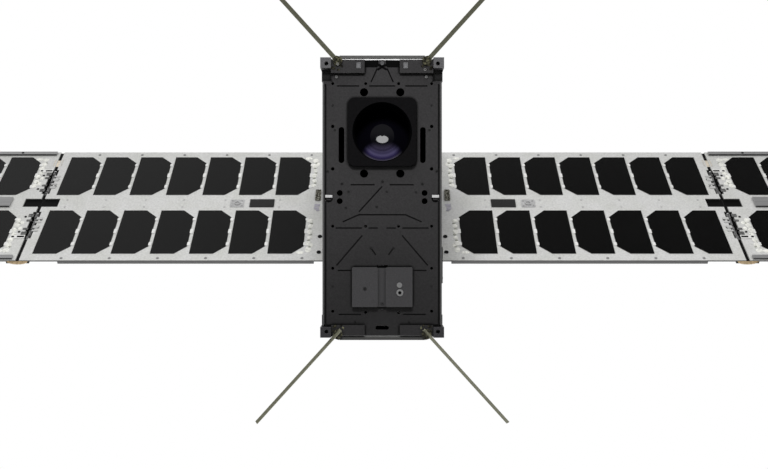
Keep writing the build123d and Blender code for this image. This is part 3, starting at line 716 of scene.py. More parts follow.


# colour, metallic, roughness, grain scale, grain swing, edge colour, edge highlight, bump, specular, crease shade
METALS = {
    "rail metal": ((0.165, 0.163, 0.17), 0.55, 0.42, 700.0, 0.12, 0.34, 0.35, 0.15, 0.5, 0.9),
    # painted shade: the lower rails' copy of the rail metal is darker, as less light falls on them
    "lower rail metal": ((0.046, 0.045, 0.049), 0.5, 0.45, 700.0, 0.12, 0.15, 0.35, 0.15, 0.4, 0.9),
    "dark side": ((0.05, 0.05, 0.053), 0.2, 0.5, 700.0, 0.15, 0.16, 0.4),
    "box black": ((0.031, 0.03, 0.031), 0.0, 0.5, 900.0, 0.2, 0.09, 0.3, 0.2, 0.25, 1.0),
    # painted shade: the lower antenna boxes' copy of box black is darker
    "lower box black": ((0.024, 0.023, 0.024), 0.0, 0.5, 900.0, 0.2, 0.06, 0.3, 0.2, 0.25, 1.0),
    "bracket black": (0.014, 0.0, 0.5, 900.0, 0.2, 0.05, 0.2, 0.2, 0.25, 1.6),
    "tab grey": ((0.085, 0.085, 0.088), 0.0, 0.4, 900.0, 0.15, None, 0.0, 0.2, 0.5, 1.0),
    "sensor grey": ((0.046, 0.045, 0.047), 0.0, 0.5, 1500.0, 0.22, 0.09, 0.3, 0.3, 0.25, 0.8),
    "sensor ring": (0.19, 0.1, 0.4, 1200.0, 0.2, 0.3, 0.4, 0.15, 0.5, 0.6),
    "plain block": (0.5, 0.8, 0.5, 300.0, 0.1),
    "pin steel": (0.1, 0.7, 0.4, 600.0, 0.2, 0.25, 0.3),
    "bearing metal": (0.2, 0.8, 0.4, 500.0, 0.1, 0.4, 0.5),
    "hinge steel": (0.45, 0.9, 0.35, 600.0, 0.15, 0.8, 0.3),
    "olive light": ((0.2, 0.195, 0.12), 0.5, 0.4, 700.0, 0.5, (0.4, 0.4, 0.3), 0.5),
    "grey screw": (0.2, 0.5, 0.4, 900.0, 0.2, 0.45, 0.3, 0.15, 0.5, 0.6),
    "dark screw": (0.012, 0.2, 0.5, 900.0, 0.2, 0.05, 0.3, 0.15, 0.3, 1.0),
    "pale plastic": (0.5, 0.0, 0.35, 900.0, 0.04),
    "window grey": ((0.15, 0.15, 0.155), 0.0, 0.35, 900.0, 0.15, None, 0.0, 0.2, 0.5, 1.0),
    "clear glue": ((0.92, 0.92, 0.86), 0.0, 0.16, 420.0, 0.25, (0.95, 0.95, 0.93), 0.2, 0.4),
    "solder mark": ((0.5, 0.51, 0.44), 0.2, 0.4, 700.0, 0.5, (0.7, 0.7, 0.66), 0.3, 0.3, 0.5, 0.5),
    "edge stud": (0.3, 0.2, 0.4, 900.0, 0.2, 0.45, 0.3, 0.15, 0.5, 0.4),
    "pale stud": ((0.6, 0.6, 0.59), 0.1, 0.4, 900.0, 0.1, 0.66, 0.3, 0.1, 0.5, 0.3),
    "silver tab": ((0.85, 0.85, 0.83), 0.0, 0.35, 900.0, 0.08),
    "grey square": (0.52, 0.1, 0.5, 500.0, 0.3, 0.66, 0.3, 0.2, 0.5, 0.5),
    "violet patch": ((0.52, 0.5, 0.57), 0.1, 0.4, 500.0, 0.3),
    "chip dark": (0.021, 0.0, 0.5, 900.0, 0.25, 0.08, 0.4, 0.2, 0.4, 0.6),
    "hinge clip": ((0.16, 0.16, 0.157), 0.2, 0.4, 420.0, 0.9, 0.3, 0.5, 0.4, 0.5, 1.0),
    "spring grey": (0.42, 0.3, 0.42, 600.0, 0.4, 0.6, 0.3),
    "copper ribbon": ((0.66, 0.5, 0.3), 0.2, 0.35, 500.0, 0.35),
    "pale film": ((0.78, 0.7, 0.58), 0.05, 0.35, 500.0, 0.3),
    "deep black": (0.0025, 0.0, 0.7, 900.0, 0.1, None, 0.0, 0.1, 0.12),
}


def finish(name):
    """One of the object's finishes by its plain name, built when first asked for."""
    if name in bpy.data.materials:
        return bpy.data.materials[name]
    if name in METALS:
        return coated_metal(name, *METALS[name])
    colours = bpy.context.scene.satellite_colours
    plate, board, cells, bars, tape = (
        tuple(c) for c in (colours.plate, colours.board, colours.cells, colours.bars, colours.antennas)
    )
    beige = tuple(min(1.0, c * 1.9) for c in tape)
    return {
        "antenna tape": lambda: coated_metal(name, tape, 0.45, 0.42, 500.0, 0.2, (0.45, 0.43, 0.33), 0.3),
        "beige tape": lambda: coated_metal(name, beige, 0.45, 0.4, 500.0, 0.2, (0.5, 0.48, 0.38), 0.3),
        "black plate": lambda: plate_material(name, plate),
        "hood black": lambda: hood_material(name),
        "hinge beam": lambda: beam_material(name),
        "white board": lambda: board_material(name, board),
        "cover board": lambda: board_material(name, board, 0.085),
        # painted shade: the lower cover's sawn edge is darker than the upper cover's
        "lower cover board": lambda: board_material(name, board, 0.05),
        "olive feed": lambda: mottled_material(name, (0.014, 0.013, 0.008), (0.125, 0.12, 0.07)),
        "olive socket": lambda: mottled_material(name, (0.06, 0.056, 0.036), (0.55, 0.54, 0.46)),
        "dark feed": lambda: mottled_material(name, (0.008, 0.007, 0.005), (0.06, 0.056, 0.034)),
        "solar cell": lambda: cell_material(name, cells, rgb(0.16)),
        "lens coating": lambda: lens_material(name),
        # painted shade on the bars' sides, deeper on the outer bars than on the inner ones
        "grey bar": lambda: brushed_material(name, bars, 0.16),
        "rear bar": lambda: brushed_material(name, bars, 0.36),
    }[name]()


# ------------------------------------------------------------------ values a user would change
def colour_value(name, description, default):
    return bpy.props.FloatVectorProperty(name=name, description=description, subtype="COLOR", size=3, default=default)


def amount_value(name, description, default, unit="LENGTH"):
    return bpy.props.FloatProperty(name=name, description=description, default=default, unit=unit)


class SatelliteColours(bpy.types.PropertyGroup):
    plate: colour_value("Front plate", "Anodised front plate", (0.032, 0.031, 0.032))
    board: colour_value("Boards", "Solder mask of the wing boards", (0.7, 0.7, 0.69))
    cells: colour_value("Cells", "Solar cells", (0.0013, 0.0013, 0.0012))
    bars: colour_value("Bars", "Stiffening bars", (0.46, 0.46, 0.46))
    antennas: colour_value("Antennas", "Tape antennas", (0.12, 0.12, 0.085))


class SatelliteSizes(bpy.types.PropertyGroup):
    screw_radius: amount_value("Screw radius", "Small screw heads", 1.3 * MM)
    glue_radius: amount_value("Glue radius", "Glue domes at the cell leads", 1.0 * MM)
    wire_radius: amount_value("Spring wire radius", "Wire of the hinge springs", 0.36 * MM)
    edge_screw_pitch: amount_value("Edge screw pitch", "Step of the screws along the panels", 50.76 * MM)


class SatelliteStage(bpy.types.PropertyGroup):
    floor_drop: amount_value("Floor drop", "Floor below the body's middle", 0.75)
    front_power: amount_value("Front light", "Front soft light", 2.1, "POWER")
    upper_power: amount_value("Upper light", "Upper soft light", 4.1, "POWER")
    surround: amount_value("Surround", "Soft light from above", 1.06, "NONE")


# ------------------------------------------------------------------ operators
class BuildStage(bpy.types.Operator):
    """Pale floor, white surround, soft lights and the camera"""

    bl_idname = "satellite.build_stage"
    bl_label = "Stage"

    camera_place = (0.0015, -1.2266, -0.02985)
    floor_radius = 1.35
    fade_start = 0.85
    fade_end = 1.3
    # name, place, target, size, shape
    lights = (
        ("front_light", (0.0, -2.0, -0.10), (0.0, -0.34, 0.05), (0.85, 0.52), "ELLIPSE"),
        ("upper_light", (-0.03, -0.95, 0.34), (0.0, -0.3, 0.0), (0.13, 0.1), "RECTANGLE"),
    )

    def execute(self, context):
        values = context.scene.satellite_stage
        self.surround(context.scene, values.surround)
        self.floor(values.floor_drop)
        front, upper = (self.light(*row) for row in self.lights)
        front.data.energy = values.front_power
        front.visible_diffuse = False
        upper.data.energy = values.upper_power
        upper.visible_glossy = False
        clear_selection()
        bpy.ops.object.camera_add(location=self.camera_place, rotation=(math.radians(90), 0.0, 0.0))
        camera = context.object
        camera.name = "camera"
        camera.data.lens = 50.0
        camera.data.sensor_width = 36.0
        camera.data.clip_start = 0.05
        context.scene.camera = camera
        context.scene.view_settings.view_transform = "Standard"
        return {"FINISHED"}

    def surround(self, scene, strength):
        """Pale room: brighter above, white behind the object and dim on the camera's side in reflections."""
        world = bpy.data.worlds.new("surround")
        scene.world = world
        world.use_nodes = True
        world.node_tree.nodes.clear()
        nodes = Nodes(world.node_tree)

        def glow(colour):
            return nodes.add("Background", {"Color": colour, "Strength": 1.0}).outputs[0]

        def switch(share, first, second):
            return nodes.add("MixShader", {"Fac": share, 1: first, 2: second}).outputs[0]

        way = nodes.split(nodes.add("TexCoord").outputs["Generated"])
        ambient = glow(nodes.spread(way["Z"], 0.05, 0.95, 0.03, strength))
        upper_front = nodes.spread(way["Z"], -0.22, 0.3, 0.01, 0.05)
        overhead = nodes.spread(way["Z"], 0.45, 0.75)
        from_left = nodes.spread(way["X"], 0.22, -0.36, 0.008, 0.3)
        behind = nodes.spread(way["Y"], 0.3, 0.8)
        room = nodes.mix(behind, nodes.mix(overhead, upper_front, from_left), WHITE)
        paths = nodes.add("LightPath").outputs
        seen = nodes.math("MAXIMUM", paths["Is Camera Ray"], paths["Is Transmission Ray"])
        light = switch(paths["Is Glossy Ray"], switch(seen, ambient, glow(WHITE)), glow(room))
        nodes.add("OutputWorld", {"Surface": light})

    def floor(self, drop):
        """A pale round that fades out before its rim."""
        clear_selection()
        bpy.ops.mesh.primitive_circle_add(
            vertices=96, radius=self.floor_radius, fill_type="NGON", location=(0.0, -0.05, -drop)
        )
        floor = settle()
        floor.name = "floor"
        look = Look("pale floor", 0.0, 0.7, 0.2)
        look.shader.inputs["Emission Color"].default_value = (*WHITE, 1.0)
        look.shader.inputs["Emission Strength"].default_value = 0.12
        grain = look.shared("Fine grain", look.place, Scale=60.0, Swing=0.01)
        reach = look.vector_math("LENGTH", look.vector_math("MULTIPLY", look.place, (1.0, 1.0, 0.0))[0])["Value"]
        front = look.math("SUBTRACT", 1.0, look.add("NewGeometry").outputs["Backfacing"])
        alpha = look.math("MULTIPLY", look.spread(reach, self.fade_end, self.fade_start), front)
        look.feed(look.shader.inputs["Alpha"], alpha)
        floor.data.materials.append(look.paint(look.scaled(rgb(0.93), grain["Value"])))

    def light(self, name, place, target, size, shape):
        clear_selection()
        turn = (Vector(target) - Vector(place)).to_track_quat("-Z", "Y").to_euler()
        bpy.ops.object.light_add(type="AREA", location=place, rotation=turn)
        lamp = bpy.context.object
        lamp.name = name
        lamp.data.shape = shape
        lamp.data.size, lamp.data.size_y = size
        return lamp


class DressNodes(bpy.types.Operator):
    """Gives every constructed part its finish"""

    bl_idname = "satellite.dress_nodes"
    bl_label = "Part finishes"

    # finish, then the endings of the nodes that wear it; the first match counts
    rules = (
        ("lower rail metal", ("lower_left_rail", "lower_right_rail")),
        ("rail metal", ("_rail",)),
        ("black plate", ("front_plate", "rear_plate")),
        ("dark side", ("_cover", "_side_panel")),
        ("lower cover board", ("bottom_board",)),
        ("cover board", ("_board",)),
        ("solar cell", ("_cells",)),
        ("hood black", ("lens_hood",)),
        ("deep black", ("lens_barrel", "lens_ring")),
        ("lens coating", ("lens_glass",)),
        ("plain block", ("avionics_block",)),
        ("sensor grey", ("_sensor_box", "sensor_bridge")),
        ("lower box black", ("lower_left_antenna_box", "lower_right_antenna_box")),
        ("box black", ("_antenna_box", "side_hatch", "_yoke")),
        ("antenna tape", ("upper_left_antenna_blade", "upper_right_antenna_blade")),
        ("beige tape", ("_antenna_blade",)),
        ("olive feed", ("antenna_hubs",)),
        ("bracket black", ("upper_brackets", "lower_brackets")),
        ("bearing metal", ("_drive_bearing",)),
        ("pin steel", ("_pins",)),
        ("hinge steel", ("_root_leaves",)),
        ("white board", ("_inner_panel", "_outer_panel")),
        ("rear bar", ("_inner_bars",)),
        ("grey bar", ("_outer_bars",)),
        ("hinge beam", ("_edge_beam",)),
    )

    def execute(self, context):
        for name, node in frame["nodes"].items():
            look = next((look for look, endings in self.rules if name.endswith(endings)), None)
            if look is None:
                raise RuntimeError("no finish for " + name)
            node.data.materials.clear()
            node.data.materials.append(finish(look))
        return {"FINISHED"}


class BuildEndScrews(bpy.types.Operator):
    """Screws of the camera end: feeds, antenna boxes, plate corners and sensor bridge"""

    bl_idname = "satellite.build_end_screws"
    bl_label = "End screws"

    # x, z, the part that carries the head, how deep the head is sunk
    spots = (
        (-35.9, 107.8, "antenna_hubs", 0.75),
        (34.7, 103.4, "upper_right_antenna_box", 0.3),
        (-37.1, 98.2, "front_plate", 0.1),
        (35.8, 98.2, "front_plate", 0.1),
    )

    def execute(self, context):
        radius = context.scene.satellite_sizes.screw_radius / MM
        places = [facing_camera_end(x, z, front_of(carrier) + sunk, 20.0) for x, z, carrier, sunk in self.spots]
        heads = copies(model_screw(radius, 0.8, 0.45, 20), places)
        on_body(heads, "end_screws", "grey screw")
        places = (
            facing_camera_end(0.0, -86.0, front_of("sensor_bridge") + 0.2),
            facing_camera_end(0.0, -90.2, FRONT_Y + 0.2),
        )
        heads = copies(model_screw(1.2, 0.8, 0.45, 20), places)
        on_body(heads, "bridge_screws", "box black")
        return {"FINISHED"}


class BuildEndPins(bpy.types.Operator):
    """Dark screws and pins sunk in the front plate's fields"""

    bl_idname = "satellite.build_end_pins"
    bl_label = "End pins"

    # x, z, radius of the head
    spots = (
        (-32.7, 11.2, 1.0), (0.3, 13.0, 1.0), (32.7, 11.2, 1.0), (-27.3, 4.8, 0.8), (3.7, 4.8, 0.8), (27.5, 4.4, 0.8),
        (-4.4, -7.5, 0.9), (-29.6, -8.2, 0.9), (44.3, 21.4, 0.9), (-44.3, 21.4, 0.9), (38.5, 54.9, 0.8),
        (-38.5, 54.9, 0.8), (9.2, -41.0, 0.9), (-9.2, -41.0, 0.9), (40.2, 75.0, 0.8), (-40.2, 75.0, 0.8),
        (40.2, -72.0, 0.8), (-40.2, -72.0, 0.8), (22.0, -101.0, 0.9), (-22.0, -101.0, 0.9),
    )

    def execute(self, context):
        pins = [
            put(model_screw(radius, 0.3, 0.5, 16), facing_camera_end(x, z, FRONT_Y + 0.12))
            for x, z, radius in self.spots
        ]
        on_body(pins, "end_pins", "dark screw")
        return {"FINISHED"}


class BuildFeeds(bpy.types.Operator):
    """Solder, clamp and terminal lumps of the four antenna feeds"""

    bl_idname = "satellite.build_feeds"
    bl_label = "Antenna feeds"

    # side in z, x, z, length, width, height, turn in degrees, lighter finish
    lumps = (
        (1, 39.6, 104.6, 4.0, 2.6, 0.7, 30.0, 0), (1, 34.0, 109.4, 3.4, 2.2, 0.8, -25.0, 1),
        (1, 37.3, 110.1, 2.6, 1.6, 0.6, 60.0, 1), (1, 32.7, 106.2, 2.4, 2.0, 0.6, 15.0, 0),
        (1, 35.4, 103.3, 3.0, 1.6, 0.5, -10.0, 0), (1, 38.0, 107.4, 2.0, 1.5, 0.9, 45.0, 1),
        (-1, 38.6, 104.4, 3.6, 2.2, 0.6, -35.0, 0), (-1, 34.8, 109.8, 3.0, 2.0, 0.7, 20.0, 0),
        (-1, 31.6, 105.6, 2.4, 1.6, 0.5, 50.0, 1), (-1, 36.4, 107.4, 2.2, 1.6, 0.8, 10.0, 1),
        (-1, 33.4, 103.8, 2.0, 1.4, 0.5, -15.0, 0), (-1, 39.6, 108.2, 2.4, 1.8, 0.5, 70.0, 0),
    )

    tie_x = 36.3
    tie_out = 1.1           # how far the ties lie beyond the plate's edge

    def execute(self, context):
        faces = {1: front_of("upper_left_antenna_box"), -1: front_of("lower_left_antenna_box")}
        made = ([], [])
        for number, (end, x, z, length, width, height, turn, lighter) in enumerate(self.lumps):
            for side in BOTH:
                lump = put(model_dome(1.0, 12, number + side), Matrix.Diagonal((length / 2, width / 2, height, 1.0)))
                spin = side * turn + (30.0 if side > 0 else 0.0)
                made[lighter].append(put(lump, facing_camera_end(side * x, end * z, faces[end], spin)))
        on_body(made[0], "feed_clamps", "dark feed", 60.0)
        on_body(made[1], "feed_solder", "olive light", 60.0)
        knot = start_block((-1.7, -0.9, 0.0), (1.7, 0.9, 2.2))
        bevel_edges(knot, lambda m, d: True, 0.5)
        z = HALF_HEIGHT + self.tie_out
        knots = copies(knot, [
            facing_camera_end(side * self.tie_x, end * z, FRONT_Y + 0.3, side * 15.0) for side in BOTH for end in BOTH
        ])
        on_body(knots, "board_ties", "dark screw")
        return {"FINISHED"}


class BuildTopRecess(bpy.types.Operator):
    """Black sheets on the floor of the recess in the plate's top edge, either side of its tab, as painted shade"""

    bl_idname = "satellite.build_top_recess"
    bl_label = "Top recess painted shade"

    def execute(self, context):
        # painted shade: thin black pads on the recess floor, and two black slanting slots at the tab
        pad = start_block((3.9, 106.1, 0.0), (14.0, 111.6, 0.12))
        inset_step(pad, top_of(pad), 0.5, 0.1)
        made = copies(pad, [facing_camera_end(0.0, 0.0) @ Matrix.Diagonal((side, 1.0, 1.0, 1.0)) for side in BOTH])
        slot = model_plate((-4.4, -0.8, 0.0), (4.4, 0.8, 0.1), 0.5, 2, 0.3, 0.05)
        made += copies(slot, [facing_camera_end(0.0, 106.3, FRONT_Y - 0.02, side * 30.0) for side in BOTH])
        shade_sheet = join_pieces(made, "recess_painted_shade")
        tidy_normals(shade_sheet)
        on_body([shade_sheet], "recess_painted_shade", "deep black")
        button = put(model_button(1.6, 0.35, 24, 0.12, 0.6, -0.15), facing_camera_end(0.0, 109.4))
        on_body([button], "tab_button", "tab grey")
        return {"FINISHED"}


class BuildWindows(bpy.types.Operator):
    """Small framed windows on the upper antenna boxes"""

    bl_idname = "satellite.build_windows"
    bl_label = "Antenna windows"

    def execute(self, context):
        pane = start_block((-1.8, -2.4, -0.1), (1.8, 2.4, 0.4))
        inset_step(pane, top_of(pane), 0.5, -0.25)
        bevel_edges(pane, upright, 0.4)
        box_y = front_of("upper_left_antenna_box")
        panes = copies(pane, [facing_camera_end(side * 19.0, 106.9, box_y) for side in BOTH])
        on_body(panes, "antenna_windows", "window grey")
        return {"FINISHED"}


class BuildSidePins(bpy.types.Operator):
    """Pale flat pins in the two round holes at the plate's middle"""

    bl_idname = "satellite.build_side_pins"
    bl_label = "Pale pins"

    hole_x = 43.4

    def at_holes(self, master, z):
        return copies(master, [facing_camera_end(side * self.hole_x, z) for side in BOTH])

    def execute(self, context):
        pin = start_block((-2.95, -1.15, -3.5), (2.95, 1.15, 0.6))
        bevel_edges(pin, lambda m, d: upright(m, d) or m.z > 0.5, 0.4, 3)
        on_body(self.at_holes(pin, 1.15), "pale_pins", "pale plastic")
        latch = start_block((-2.2, -0.8, -4.0), (2.2, 0.8, -0.6))
        bevel_edges(latch, lambda m, d: m.z > -1.0, 0.4)
        cup = model_dish(3.3, -4.8, -4.0, 32, 0.6, -0.3)
        made = self.at_holes(latch, -1.35) + self.at_holes(cup, 0.0)
        on_body(made, "pin_latches", "box black")
        return {"FINISHED"}


class BuildSensorOptics(bpy.types.Operator):
    """The small optics of the sensor boxes: a dark port, a pale disc and a ring round a dark eye"""

    bl_idname = "satellite.build_sensor_optics"
    bl_label = "Sensor optics"

    def execute(self, context):
        face_y = front_of("left_sensor_box")
        port_place = facing_camera_end(-13.9, -73.7, face_y)
        disc_place = facing_camera_end(14.0, -70.8, face_y)
        eye_place = facing_camera_end(14.3, -76.9, face_y)
        port = put(model_dish(1.4, 0.0, 0.3, 24, 0.35, -0.2), port_place)
        disc = put(model_button(2.2, 0.4, 32, 0.25, 0.9, -0.2), disc_place)
        ring = put(model_button(2.9, 0.45, 36, 0.3, 1.1, -0.35), eye_place)
        eye = put(model_dish(1.35, 0.0, 0.25, 28, 0.5, 0.15), eye_place)
        on_body([port], "sensor_port", "dark screw")
        on_body([disc, ring], "sensor_rings", "sensor ring")
        on_body([eye], "sensor_eye", "deep black")
        return {"FINISHED"}


class BuildLensBaffles(bpy.types.Operator):
    """Fine light-trapping rings inside the hood"""

    bl_idname = "satellite.build_lens_baffles"
    bl_label = "Lens baffles"

    count = 7
    step = 0.12             # of the hood's depth
    taper = 1.4             # how much narrower the throat is at its inner end
    width = 0.55

    def execute(self, context):
        depth = (HOOD_HIGH[1] - HOOD_LOW[1]) / MM
        made = []
        for number in range(self.count):
            share = self.step + number * self.step
            outer = THROAT_RADIUS - self.taper * share - 0.1
            ring = model_ring(outer, outer - self.width, 0.5, 96)
            made.append(put(ring, facing_camera_end(0.0, LENS_Z, HOOD_LOW[1] / MM + share * depth)))
        on_body(made, "hood_baffles", "hood black")
        return {"FINISHED"}


class BuildCellTabs(bpy.types.Operator):
    """Bright interconnect tabs from cell to cell, three on each cell's cropped edge"""

    bl_idname = "satellite.build_cell_tabs"
    bl_label = "Cell tabs"

    # middle of the tab as a share of the cropped edge, half width
    tabs = ((0.07, 2.2), (0.49, 3.8), (0.93, 2.8))
    edge_start = 27.8
    edge_length = 50.6

    def execute(self, context):
        for part, start in (("inner", INNER_CELLS_START), ("outer", OUTER_CELLS_START)):
            on_wings(lambda: self.model(start), part + "_wing", "silver tab", part + "_cell_tabs")
        return {"FINISHED"}

    def model(self, start):
        made = []
        cells = [start + number * CELL_PITCH for number in range(CELL_COUNT)]
        for share, half in self.tabs:
            tab = model_plate((-2.7, -half, 0.0), (0.55, half, 0.5), 0.8, 3, 0.3, 0.06, lambda m: m.x > 0)
            rows = (-self.edge_start - share * self.edge_length, self.edge_start + (1.0 - share) * self.edge_length)
            made += copies(tab, grid(cells, rows, BOARD_TOP))
        return made


class BuildGlue(bpy.types.Operator):
    """Clear glue over the first cells' leads on each panel"""

    bl_idname = "satellite.build_glue"
    bl_label = "Glue"

    # u from the first cell's edge, |v|, half length, half width, height
    inner_spots = (
        (-4.6, 33.6, 3.6, 3.4, 0.9), (-5.4, 43.0, 3.0, 3.2, 0.7), (-4.8, 53.4, 3.4, 4.2, 0.9),
        (-5.6, 63.6, 2.8, 3.0, 0.7), (-4.4, 73.6, 3.6, 4.0, 1.0), (-5.0, 84.6, 3.4, 4.4, 0.7),
        (3.4, 89.2, 4.2, 2.6, 0.7), (-8.2, 77.0, 2.0, 3.6, 0.5),
    )
    outer_spots = (
        (-3.6, 33.0, 3.0, 4.0, 1.0), (-4.2, 41.4, 3.4, 3.6, 0.8), (-3.4, 50.6, 3.2, 4.4, 1.1),
        (-5.2, 59.0, 3.0, 3.8, 0.8), (-3.8, 67.6, 3.4, 4.0, 1.1), (-4.4, 76.6, 3.4, 4.6, 0.8),
        (-8.6, 37.2, 2.4, 3.0, 0.6), (-9.2, 47.4, 2.2, 3.4, 0.7), (3.6, 86.8, 4.2, 3.0, 0.7),
        (-4.2, 86.0, 4.0, 3.6, 0.7),
    )
    marks = (38.4, 48.2, 58.6, 68.4, 79.4)      # |v|

    def execute(self, context):
        for part, start, spots in (
            ("inner", INNER_CELLS_START, self.inner_spots),
            ("outer", OUTER_CELLS_START, self.outer_spots),
        ):
            body = part + "_wing"
            on_wings(lambda: self.glue(start, spots), body, "clear glue", part + "_glue")
            on_wings(lambda: self.solder(start), body, "solder mark", part + "_solder")
        return {"FINISHED"}

    def dome(self, size, sides, seed, shape, u, v):
        dome = put(model_dome(size, sides, seed), Matrix.Diagonal((*shape, 1.0)))
        return put(dome, moved(u, v, BOARD_TOP - 0.02))

    def glue(self, start, spots):
        size = bpy.context.scene.satellite_sizes.glue_radius / MM
        return [
            self.dome(size, 20, number * 2 + row + 3, shape, start + u, row * v)
            for number, (u, v, *shape) in enumerate(spots) for row in BOTH
        ]

    def solder(self, start):
        return [
            self.dome(1.0, 14, number * 3 + row + 5, (1.7, 1.3, 0.8), start - 6.4 + 1.6 * (number % 2), row * v)
            for number, v in enumerate(self.marks) for row in BOTH
        ]


class BuildBoardParts(bpy.types.Operator):
    """Small parts on the wing boards: chip, ring terminal, connector, pads and their screws"""

    bl_idname = "satellite.build_board_parts"
    bl_label = "Board parts"

    strip_low = -8.6        # v of the strip between the two rows of cells
    strip_high = 5.7
    bar_height = 2.2
    row_count = 6
    # u along the wing and v across it
    edge_start, edge_rows = 85.0, (-98.8, 96.7)
    bar_start, bar_pitch, bar_rows = 431.0, 50.9, (-98.2, 98.2)
    strip_spots = (116.0, 177.5, 224.5, 267.5, 312.5, 356.3), (5.5, -7.7)
    root_spots = (67.7,), (-89.0, -62.0)

    def execute(self, context):
        pitch = context.scene.satellite_sizes.edge_screw_pitch / MM
        edge = grid(self.line(self.edge_start, pitch), self.edge_rows, BOARD_TOP - 0.02)
        strip = grid(*self.strip_spots, BOARD_TOP - 0.02)
        root = grid(*self.root_spots, BOARD_TOP - 0.2)
        bar_top = OUTER_HIGH.z + self.bar_height
        bars = grid(self.line(self.bar_start, self.bar_pitch), self.bar_rows, bar_top - 0.06)
        inner, outer = "inner_wing", "outer_wing"
        on_wings(self.chip, inner, "chip dark", "board_chip")
        on_wings(self.terminal, inner, "grey square", "board_terminal")
        on_wings(self.connector, inner, "olive socket", "board_connector")
        on_wings(self.pads, inner, "violet patch", "board_pads")
        for head, places, body, look, slot, name in (
            ((1.55, 0.35, 0.35, 18), edge, inner, "edge stud", "rail_metal", "board_studs"),
            ((1.25, 0.35, 0.4, 16), strip, inner, "pale stud", "rail_metal", "strip_studs"),
            ((2.35, 1.2, 0.4, 24), root, inner, "dark screw", "black_metal", "root_screws"),
            ((1.5, 0.5, 0.5, 16), bars, outer, "dark screw", "black_metal", "bar_screws"),
        ):
            on_wings(lambda: copies(model_screw(*head), places), body, look, name)
        return {"FINISHED"}

    def line(self, start, pitch):
        return [start + number * pitch for number in range(self.row_count)]

    def on_strip(self, start, end, height, *shape):
        low = (start, self.strip_low, BOARD_TOP)
        return model_plate(low, (end, self.strip_high, BOARD_TOP + height), *shape)

    def chip(self):
        return [self.on_strip(122.0, 149.5, 0.9, 0.5, 2, 0.7, 0.15)]

    def terminal(self):
        plate = self.on_strip(156.0, 171.5, 0.35, 0.8, 3, 0.7, -0.1)
        ring = put(model_ring(3.4, 2.4, 0.9, 28), moved(163.7, -1.4, BOARD_TOP + 0.2))
        posts = copies(model_screw(0.9, 0.6, 0.5, 12), grid((158.4, 169.1), (-6.2, 3.3), BOARD_TOP + 0.2))
        return [plate, ring, *posts]

    def connector(self):
        shell = model_plate((70.0, 4.0, BOARD_TOP), (76.3, 23.0, BOARD_TOP + 2.0), 0.7, 2, 0.8, -0.9)
        pin = start_block((-0.45, -0.45, 0.0), (0.45, 0.45, 1.1))
        bevel_edges(pin, lambda m, d: m.z > 1.0 and abs(d.z) < 0.1, 0.15, 1)
        return [shell, *copies(pin, grid((71.9, 74.4), [6.0 + number * 2.5 for number in range(7)], BOARD_TOP + 0.9))]

    def pads(self):
        made = []
        # u, v, width, length, height
        for u, v, wide, long, height in (
            (73.4, -4.6, 6.4, 4.2, 0.3), (74.2, -10.2, 5.2, 4.8, 0.45), (72.6, -14.4, 3.6, 2.6, 0.6),
        ):
            pad = model_plate((-wide / 2, -long / 2, 0.0), (wide / 2, long / 2, height), 0.9, 3, 0.5, 0.08)
            made.append(put(pad, moved(u, v, BOARD_TOP)))
        return made


